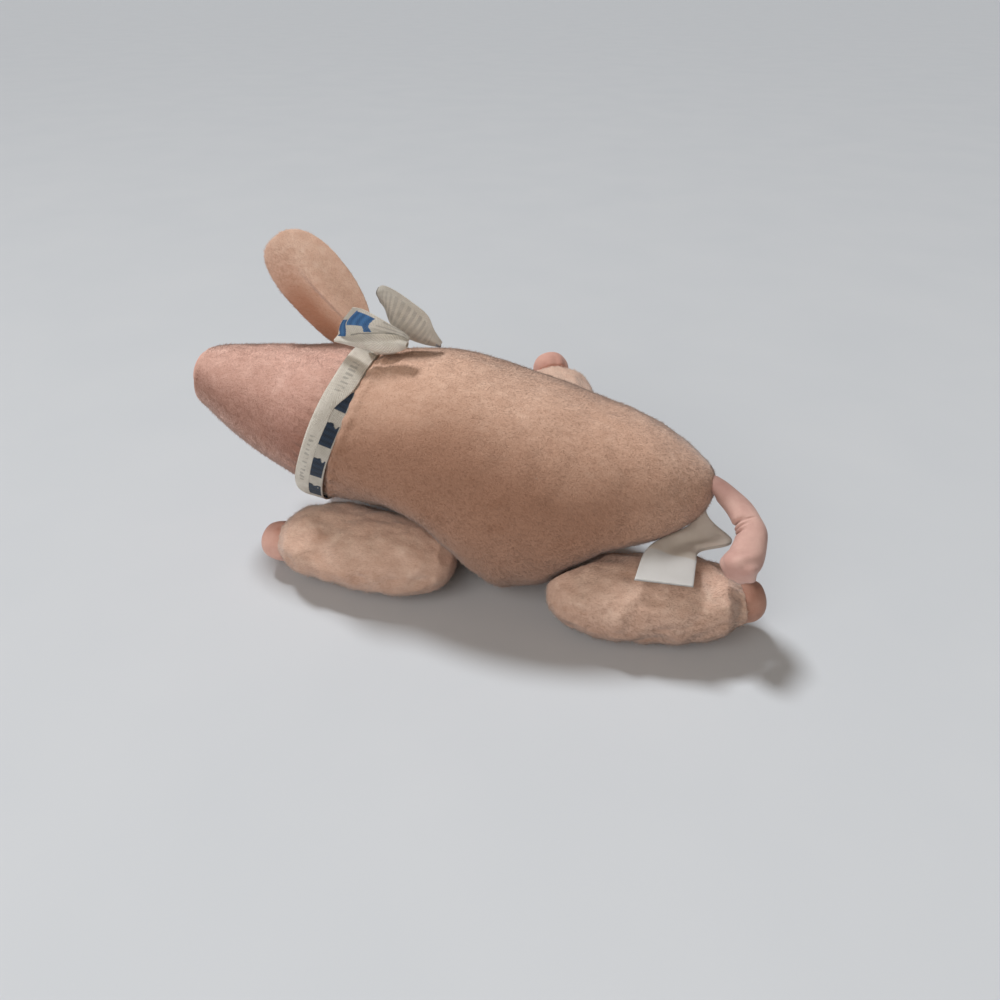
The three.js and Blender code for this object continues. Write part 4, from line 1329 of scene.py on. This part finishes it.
def make_label():
    left, right = label_edge("left"), label_edge("right")

    def place(u, v):
        out = out_and_back(v)
        layer = np.cos(math.pi * step_between(v, tape_fold_start, tape_fold_end))
        spot = smooth_run(left, out) * (1 - u)[:, None]
        spot += smooth_run(right, out) * u[:, None]
        spot[:, 2] += layer * tape_parting / 2
        spot[:, 2] += tape_wave * np.sin(3 * math.pi * u) * np.sin(math.pi * out) ** 2
        return spot

    points, faces, u, v = cloth_strip(26, 120, place, tape_thickness)
    label = new_piece("label_tape", points, faces)
    mark(label, "across", u)
    mark(label, "along", out_and_back(v))
    label.data.materials.append(satin_tape())
    dress(label, "label", "label")
    return label

label = make_label()

# %% [markdown]
# ## Ribbon
#
# A woven ribbon goes once round the neck, folded lengthwise, so one half shows its plain back
# and the other its check. It is tied on top, with a small knot and two cut ends. The weave is
# worked out from two numbers stored at every point, how far along the ribbon the point is and
# how far across. A picture of a weave would do as well, but it would show its pixels this
# close.

# %% The ribbon's finish
ribbon_width = 14 * mm
thread_step = 0.6 * mm

def ribbon_finish(name, blue, shade):
    """Off-white woven cotton with a blue check."""
    finish = Finish(name, Roughness=0.85, Specular_IOR_Level=0.15, Sheen_Weight=0.15, Sheen_Roughness=0.5)
    long, wide = finish.marked("along"), finish.marked("across")
    turn = 2 * math.pi / thread_step
    weave = (wide * turn).wave() * (long * turn).wave() * 0.5 + 0.5
    stripes = (long * (turn / 3.2)).wave() * 0.5 + 0.5
    cotton = finish.noise(2.5 * mm, detail=3)
    ground = finish.blend((cotton - 0.3) * 1.5, paint(246, 241, 230), paint(216, 209, 196))
    # Darker where marked: dark woven marks, and painted shade in the folds of the left end.
    ground = finish.blend(finish.marked("marks_and_shade") * 0.7, ground, paint(92, 90, 86))
    blue_mixed = finish.blend(stripes * 0.5 + cotton * 0.3, blue, shade)
    coloured = finish.blend(finish.marked("blue"), ground, blue_mixed)
    finish.colour(finish.blend((1 - weave) * 0.22, coloured, paint(112, 104, 94)))
    finish.bump(weave, 0.2 * mm)
    return finish.material

# The band and the knot get the ribbon's blue painted darker, as shade on the neck; the cut ends keep it
# bright.
shaded_ribbon = ribbon_finish("woven_ribbon_shaded", paint(44, 66, 90), paint(22, 36, 52))
bright = ribbon_finish("woven_ribbon_blue", paint(84, 144, 204), paint(38, 84, 138))

# %% [markdown]
# The band lies on the body's skin just behind the neck seam. To find that skin, the search
# below goes out from the neck's middle at each angle, halving the step thirty times.

# %% Where the neck's skin is
halvings = 30

def neck_reach(angle):
    """How far the body's skin lies from the neck point, in the seam's plane, at an angle."""
    direction = np.cos(angle)[:, None] * neck_along_seam + np.sin(angle)[:, None] * np.array([0, 1.0, 0])
    low, high = np.zeros(len(angle)), np.full(len(angle), 2 * body_radius)
    for _ in range(halvings):
        middle = (low + high) / 2
        spot = neck_point + direction * middle[:, None]
        centre, radius, depth = body_spine.at_x(spot[:, 0])
        rise = spot[:, 2] - centre
        upright = np.where(rise > 0, radius, depth)
        inside = np.hypot(spot[:, 1] / radius, rise / upright) < 1
        low, high = np.where(inside, middle, low), np.where(inside, high, middle)
    return direction, low

# %% The band round the neck
ribbon_cloth_thickness = 0.4 * mm
band_head_edge, band_body_edge = 3.8 * mm, -5 * mm
band_fold_share = 0.63
band_cover_share = 0.52
band_cover_at_knot, band_narrowing = 0.97, 0.16
neck_girth = 2 * math.pi * 25.8 * mm

def band_forward(u, angle):
    """How far forward of the seam the ribbon lies: out to its fold, and part of the way back."""
    lower = np.minimum(u / band_fold_share, 1)
    upper = np.clip((u - band_fold_share) / (1 - band_fold_share), 0, 1)
    above = step_between(np.cos(angle), 0.6, 0.9)
    covered = band_cover_share + (band_cover_at_knot - band_cover_share) * above
    narrow = 1 - band_narrowing * step_between(np.cos(angle), 0.7, 1)
    forward = band_body_edge + (band_head_edge - band_body_edge) * (lower - upper * covered)
    ruffle = 0.2 * mm * np.sin(7 * angle + 5 * u) + 0.35 * mm * np.sin(3 * angle + 1)
    return forward * narrow + ruffle * 0.5

def band_climb(u):
    """How far the ribbon stands off the skin: the upper half lies over the lower one."""
    lower = np.minimum(u / band_fold_share, 1)
    upper = np.clip((u - band_fold_share) / (1 - band_fold_share), 0, 1)
    over = step_between(u, band_fold_share - 0.04, band_fold_share + 0.04)
    bulge = 0.45 * mm * np.sin(math.pi * lower) ** 2 * (upper <= 0)
    return 0.3 * mm + 0.5 * mm * over + bulge + 0.3 * mm * np.sin(math.pi * upper)

def band_place(u, v):
    angle = v * 2 * math.pi
    direction, reach = neck_reach(angle)
    out = direction * (reach + band_climb(u))[:, None]
    return neck_point + out + neck_forward * band_forward(u, angle)[:, None]

points, faces, band_u, band_v = cloth_strip(52, 620, band_place, ribbon_cloth_thickness, closed=True)
band = new_piece("ribbon_band", points, faces)
band.data.materials.append(shaded_ribbon)
dress(band, "neck_ribbon", "body")
print("the band is", round(neck_girth / mm), "mm long")

navy_start, navy_period, navy_length = math.radians(258), math.radians(25.6), math.radians(16)
fray, dash_length = math.radians(3.2), 1.5 * mm
across, along = band_u * ribbon_width, band_v * neck_girth
band_spots = np.stack([across, along, 0 * band_u], axis=1)
mark(band, "along", along)
mark(band, "across", across)

in_period = (band_v * 2 * math.pi - navy_start) % navy_period
frayed = fray * lumps(band_spots, 1.2 * mm, 61)
in_row = (across < 0.45 * ribbon_width) & (across > 0.4 * mm)
is_blue = (in_period + frayed < navy_length) & in_row
mark(band, "blue", is_blue)

dashes = np.sin(along * 2 * math.pi / dash_length) + 1.4 * lumps(band_spots, 1.3 * mm, 63) > 0.35
column = np.abs(band_u - band_fold_share - 0.19) < 0.06
patches = lumps(band_spots, 9 * mm, 62) > -0.1
lower_layer = band_u < band_fold_share * 0.6
mark(band, "marks_and_shade", 0.5 * (dashes & column & patches) + 0.32 * lower_layer)
print("blue covers", round(100 * float(np.mean(is_blue))), "% of the band")

# %% [markdown]
# The knot is a small wad of the same ribbon. It is made as a round form that three wraps pinch,
# because the turns inside a knot are never seen.

# %% The knot
knot_size = np.array([12, 8, 6]) * mm
knot_behind = 6.5 * mm
knot_direction, knot_reach = neck_reach(np.array([0.0]))
knot_x = neck_x + knot_direction[0, 0] * knot_reach[0] + knot_behind
under_knot, skin_radius, _ = body_spine.at_x(np.array([knot_x]))
knot_spot = np.array([knot_x, 0, under_knot[0] + skin_radius[0] + cloth_gap + knot_size[2] / 2])

wrap_depth = 0.09

def knot_place(along, angle):
    polar = math.pi * along
    ring = np.sin(polar)
    spot = np.stack([-np.cos(polar), ring * np.cos(angle), ring * np.sin(angle)], axis=1)
    wrap = 1 - wrap_depth * np.abs(np.sin(3 * polar + 0.8 * np.sin(angle))) ** 0.7
    return knot_spot + spot * wrap[:, None] * knot_size / 2

knot = new_piece("ribbon_knot_wrap", *round_form(60, 60, knot_place))
off_knot = points_of(knot) - knot_spot
mark(knot, "along", off_knot[:, 0] + 2 * ribbon_width)
mark(knot, "across", off_knot[:, 1] + ribbon_width / 2)
knot.data.materials.append(shaded_ribbon)
dress(knot, "ribbon_knot", "body")

# %% [markdown]
# Each cut end is a sheet hung between rails. A rail runs from the knot to the cut edge, and is
# drawn in shares of the ribbon's width, with how far it stands out towards the pig's left. The
# left end has a flat panel and rolls under along its lower side; the right end is a leaf.
# Rails were chosen over a cloth simulation, because each fold can be put where it is seen.

# %% A sheet between rails
def between_rails(rails, u, v):
    """A smooth sheet across several smooth rails."""
    lines = np.stack([smooth_run(rail, v) for rail in rails])
    lines = np.concatenate([2 * lines[:1] - lines[1:2], lines, 2 * lines[-1:] - lines[-2:-1]])
    spans = len(rails) - 1
    place = np.clip(u, 0, 1) * spans
    first = np.minimum(place.astype(int), spans - 1)
    part = (place - first)[:, None]
    pick = np.arange(len(u))
    a, b, c, d = (lines[first + step, pick] for step in range(4))
    slope_in, slope_out = (c - a) / 2, (d - b) / 2
    square = 3 * (c - b) - 2 * slope_in - slope_out
    cube = 2 * (b - c) + slope_in + slope_out
    return b + part * (slope_in + part * (square + part * cube))

# %% The rails of the two cut ends
bow_tail_thickness = 0.9 * mm
bow_end_length = 1.3 * ribbon_width
end_offset = knot_size[1] / 2 + cloth_gap + bow_tail_thickness / 2
left_rails = [
    (0.0, [(0.74, 0.39), (0.61, 0.5), (0.34, 0.64), (-0.06, 0.82), (-0.3, 0.9), (-0.46, 0.92)]),
    (0.5, [(0.74, 0.36), (0.61, 0.44), (0.11, 0.53), (-0.29, 0.59), (-0.58, 0.6), (-0.74, 0.58)]),
    (-0.7, [(0.73, 0.33), (0.59, 0.4), (0.2, 0.41), (-0.31, 0.34), (-0.6, 0.29), (-0.9, 0.25)]),
    (2.3, [(0.73, 0.29), (0.56, 0.3), (0.2, 0.27), (-0.28, 0.24), (-0.57, 0.22), (-0.9, 0.21)]),
    (1.3, [(0.72, 0.21), (0.56, 0.11), (0.2, 0.02), (-0.26, 0.08), (-0.57, 0.11), (-0.9, 0.15)]),
    (-0.6, [(0.7, 0.26), (0.52, 0.17), (0.18, 0.1), (-0.26, 0.13), (-0.56, 0.15), (-0.88, 0.18)]),
]
right_rails = [
    (0.0, [
        (-0.16, 1.12), (-0.04, 1.19), (0.2, 1.12), (0.6, 0.87), (0.92, 0.61), (1.05, 0.32), (1.22, 0.06),
    ]),
    (0.9, [
        (-0.18, 1.05), (-0.08, 1.02), (0.15, 0.9), (0.48, 0.62), (0.78, 0.36), (0.98, 0.16), (1.2, 0.0),
    ]),
    (0.2, [
        (-0.17, 0.94), (-0.08, 0.84), (0.06, 0.6), (0.3, 0.36), (0.6, 0.16), (0.9, 0.04), (1.19, -0.04),
    ]),
    (-0.5, [
        (-0.16, 0.8), (-0.06, 0.66), (0.02, 0.4), (0.16, 0.2), (0.48, 0.02), (0.8, -0.06), (1.16, -0.08),
    ]),
]

# %% Where the ends are blue, where marked dark, and where painted shade
def left_blue(u, v):
    large = (u > 0.03) & (u < 0.25 + 0.12 * (v < 0.6)) & (v > 0.52) & (v < 0.84)
    small = (u > 0.16) & (u < 0.44) & (v > 0.86) & (v < 0.99)
    return large | small

def left_painted_shade(u, v):
    # Painted shade: grey in the panel's folds, and a dark line of shade along the roll.
    folds = (np.sin(u * 60) > 0.6) & (u < 0.4) & (v > 0.1) & (v < 0.46)
    return 0.4 * folds + 0.75 * ((np.abs(u - 0.41) < 0.018) & (v < 0.8))

def right_blue(u, v):
    return 0.5 * ((v > 0.94) & (u > 0.4))

def right_dark(u, v):
    ticks = np.sin(v * 105) > 0.1
    strength = 0.26 + 0.26 * lumps(np.stack([u, v, 0 * u], axis=1), 0.14, 63)
    return strength * (ticks & (v > 0.14) & (v < 0.85) & (u > 0.14) & (u < 0.9)) + 0.8 * (v < 0.05)

# %% The two cut ends
end_ripple, end_wander = 0.2 * mm, 0.02

def rail_lines(rails, offset):
    """Rails as points in the scene, beside the knot."""
    lines = []
    for out, shares in rails:
        aside = np.array([0, offset - out * mm, 0])
        spots = [knot_spot + np.array([right, 0, rise]) * ribbon_width for right, rise in shares]
        lines.append([spot + aside for spot in spots])
    return lines

def bow_end(side, rails, offset, seed, blue_at, marks_and_shade_at):
    """A cut end of the ribbon; the two masks say where it is blue, and where it has dark marks and
    painted shade.
    """
    lines = rail_lines(rails, offset)

    def place(u, v):
        spot = between_rails(lines, u, v)
        spot[:, 1] += end_ripple * np.sin(9 * v + 5 * u + seed)
        return spot

    points, faces, u, v = cloth_strip(110, 150, place, ribbon_cloth_thickness)
    end = new_piece(f"ribbon_{side}_end", points, faces)
    mark(end, "along", v * bow_end_length)
    mark(end, "across", u * ribbon_width)
    wander = end_wander * lumps(np.stack([u, v, 0 * u], axis=1), 0.1, seed)
    mark(end, "blue", blue_at(u + wander, v + wander))
    mark(end, "marks_and_shade", marks_and_shade_at(u + wander, v))
    end.data.materials.append(bright)
    dress(end, f"ribbon_{side}_tail", "body")

bow_end("left", left_rails, -end_offset, 1, left_blue, left_painted_shade)
bow_end("right", right_rails, end_offset, 2, right_blue, right_dark)

# %% [markdown]
# ## Face
#
# The face is turned away from the photograph's camera, so its pieces are plain ones of their
# kind: a round nose pad with two stitched nostrils, and two small black bead eyes. The pad
# and the eyes are turned forms, an outline of radius and height spun about an axis.

# %% Turned forms
def facing(points, direction, spot):
    """Points made along +Y, turned to a direction and moved to a spot."""
    turn = Vector((0, 1, 0)).rotation_difference(Vector(direction)).to_matrix()
    return points @ np.array(turn).T + spot

def lathe(outline, rows, sides):
    """A closed form turned about +Y from an outline of (radius, height) points."""

    def place(along, angle):
        ring = smooth_run(outline, along)
        radius = np.maximum(ring[:, 0], 0)
        return np.stack([radius * np.cos(angle), ring[:, 1], radius * np.sin(angle)], axis=1)

    return round_form(rows, sides, place)

def bead_finish():
    finish = Finish("black_bead", Roughness=0.12, Specular_IOR_Level=0.5, Coat_Weight=0.4)
    dust = finish.noise(0.8 * mm, detail=3)
    finish.colour(finish.blend(dust, paint(16, 13, 12), paint(34, 29, 27)))
    finish.roughness(dust * 0.2 + 0.06)
    return finish.material

bead = bead_finish()

# %% Nose pad
pad_rim = snout_pad_thickness / 3
pad_outline = [
    (0, 0), (snout_radius - pad_rim, 0), (snout_radius, pad_rim), (snout_radius, 2 * pad_rim),
    (snout_radius - pad_rim, snout_pad_thickness), (snout_radius / 2, snout_pad_thickness * 0.92),
    (0, snout_pad_thickness * 0.86),
]
pad_points, pad_faces = lathe(pad_outline, 60, 72)
pad_spot = snout_point + cloth_gap * snout_forward
pad = new_piece("nose_pad", facing(pad_points, snout_forward, pad_spot), pad_faces)
pad.data.materials.append(pink_cloth)
dress(pad, "snout_pad", "head")

# %% Nostrils and eyes
nostril_radius, nostril_spacing = 1.1 * mm, 6 * mm
nostril_lift = snout_pad_thickness + nostril_radius / 4
thread_ridge, threads_in_stitch = 0.12, 14
face_across = np.array([0, math.cos(face_roll), 0]) - snout_up * math.sin(face_roll)
eye_x, eye_spread, eye_radius, eye_height = -92 * mm, math.radians(13), 2.4 * mm, 1.2 * mm
eye_sunk = 0.8 * mm
eye_dome = [
    (eye_radius * math.cos(turn), eye_height * math.sin(turn))
    for turn in np.linspace(0.15, math.pi / 2, 7)
]
eye_outline = [(0, 0), (eye_radius * 0.9, 0)] + eye_dome[:-1] + [(0, eye_height)]

def stitch(along, angle):
    """A short bar of thread, twice as wide as it is thick."""
    polar = math.pi * along
    ridge = 1 + thread_ridge * np.sin(threads_in_stitch * polar)
    return np.stack([
        nostril_radius * np.sin(polar) * np.cos(angle) * ridge,
        nostril_radius / 2 * np.sin(polar) * np.sin(angle) * ridge,
        -2 * nostril_radius * np.cos(polar),
    ], axis=1)

def make_nostril(side, sign):
    points, faces = round_form(40, 28, stitch)
    spot = snout_point + snout_forward * nostril_lift + face_across * sign * nostril_spacing / 2
    nostril = new_piece(f"{side}_nostril_stitch", facing(points, snout_forward, spot), faces)
    nostril.data.materials.append(bead)
    dress(nostril, f"{side}_nostril", "head")

def make_eye(side, sign):
    points, faces = lathe(eye_outline, 40, 48)
    spot, out = on_head_skin(eye_x, face_roll + sign * eye_spread, -eye_sunk)
    eye = new_piece(f"{side}_bead_eye", facing(points, out, spot), faces)
    eye.data.materials.append(bead)
    dress(eye, f"{side}_eye", "head")

for side, sign in (("left", -1), ("right", 1)):
    make_nostril(side, sign)
    make_eye(side, sign)

# %% [markdown]
# ## Inside
#
# The body and the head are packed with white fibre, and each leg holds loose pellets. None
# of it is seen from outside, but it is what gives the pig its weight and its slump.

# %% Stuffing
def fibre_finish():
    finish = Finish("white_stuffing", Roughness=0.95, Sheen_Weight=0.3)
    strands = finish.noise(1.5 * mm, detail=5, roughness=0.7)
    finish.colour(finish.blend(strands, paint(222, 219, 210), paint(248, 247, 243)))
    finish.bump(strands, 0.8 * mm)
    return finish.material

wads = [(0.7 * mm, 8 * mm), (0.4 * mm, 3 * mm)]
under_cover = cover_wall + cloth_gap + 1.2 * mm
neck_room = 2 * mm
fibre = fibre_finish()

def make_stuffing(body, spine, cuts, seed):
    """A wad of fibre a little smaller than the room inside the cover."""

    def place(along, angle):
        points = spine.skin(along, angle, -under_cover)
        middle, _, _ = spine.at_x(points[:, 0])
        out = unit(np.stack([0 * middle, points[:, 1], points[:, 2] - middle], axis=1))
        return points + out * lumped(points, wads, seed)[:, None]

    points, faces = round_form(90, 110, place)
    stuffing = new_piece(f"{body}_stuffing", off_floor(points), faces, cuts)
    stuffing.data.materials.append(fibre)
    dress(stuffing, f"{body}_filling", body)

behind_neck = (neck_point - neck_room * neck_forward, neck_forward)
before_neck = (neck_point + neck_room * neck_forward, -neck_forward)
behind_snout = (snout_point - (cover_wall + cloth_gap) * snout_forward, snout_forward)
make_stuffing("body", body_spine, [behind_neck], 111)
make_stuffing("head", head_spine, [before_neck, behind_snout], 121)

# %% [markdown]
# The pellets are drawn one by one at random places in the pouch. A place is kept only if its
# whole bead is inside, so no bead pokes through the plush. Letting them fall in a simulation
# would pack them more truly, but nobody sees them.

# %% Pellets
pellet_radius, pellet_margin, pellets_in_a_leg = 1.3 * mm, 0.8 * mm, 420
pellet_seeds = {name: 131 + number for number, name in enumerate(legs)}

def pellet_finish():
    finish = Finish("plastic_pellets", Roughness=0.4)
    cloudy = finish.noise(2 * mm, detail=2)
    finish.colour(finish.blend(cloudy, paint(228, 226, 220), paint(244, 243, 238)))
    return finish.material

def pellet_ball():
    """The points and triangles of one bead, a twenty-sided ball."""
    ball = bmesh.new()
    bmesh.ops.create_icosphere(ball, subdivisions=1, radius=pellet_radius)
    points = np.array([vert.co for vert in ball.verts])
    triangles = np.array([[vert.index for vert in face.verts] for face in ball.faces])
    ball.free()
    return points, triangles

def pellet_centres(name):
    """Random places in a leg's pouch at which a whole bead is inside it."""
    draw = np.random.default_rng(pellet_seeds[name])
    low, high = (np.array(corner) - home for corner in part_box(f"{name}_pellets"))
    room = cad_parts[f"{name}_pellets"]
    centres = []
    while len(centres) < pellets_in_a_leg:
        spot = draw.uniform(low, high)
        found, near, normal, _ = room.closest_point_on_mesh(Vector(spot + home))
        if found and (Vector(spot + home) - near).dot(normal) < -pellet_radius - pellet_margin:
            centres.append(spot)
    return np.array(centres)

def make_pellets(name):
    ball_points, ball_faces = pellet_ball()
    centres = pellet_centres(name)
    starts = np.arange(len(centres)) * len(ball_points)
    points = (centres[:, None] + ball_points[None]).reshape(-1, 3)
    faces = (starts[:, None, None] + ball_faces[None]).reshape(-1, 3)
    heap = quick_piece(f"{name}_pellet_heap", points, faces)
    heap.data.materials.append(beads)
    dress(heap, f"{name}_pellets", name)

beads = pellet_finish()
for name in legs:
    make_pellets(name)
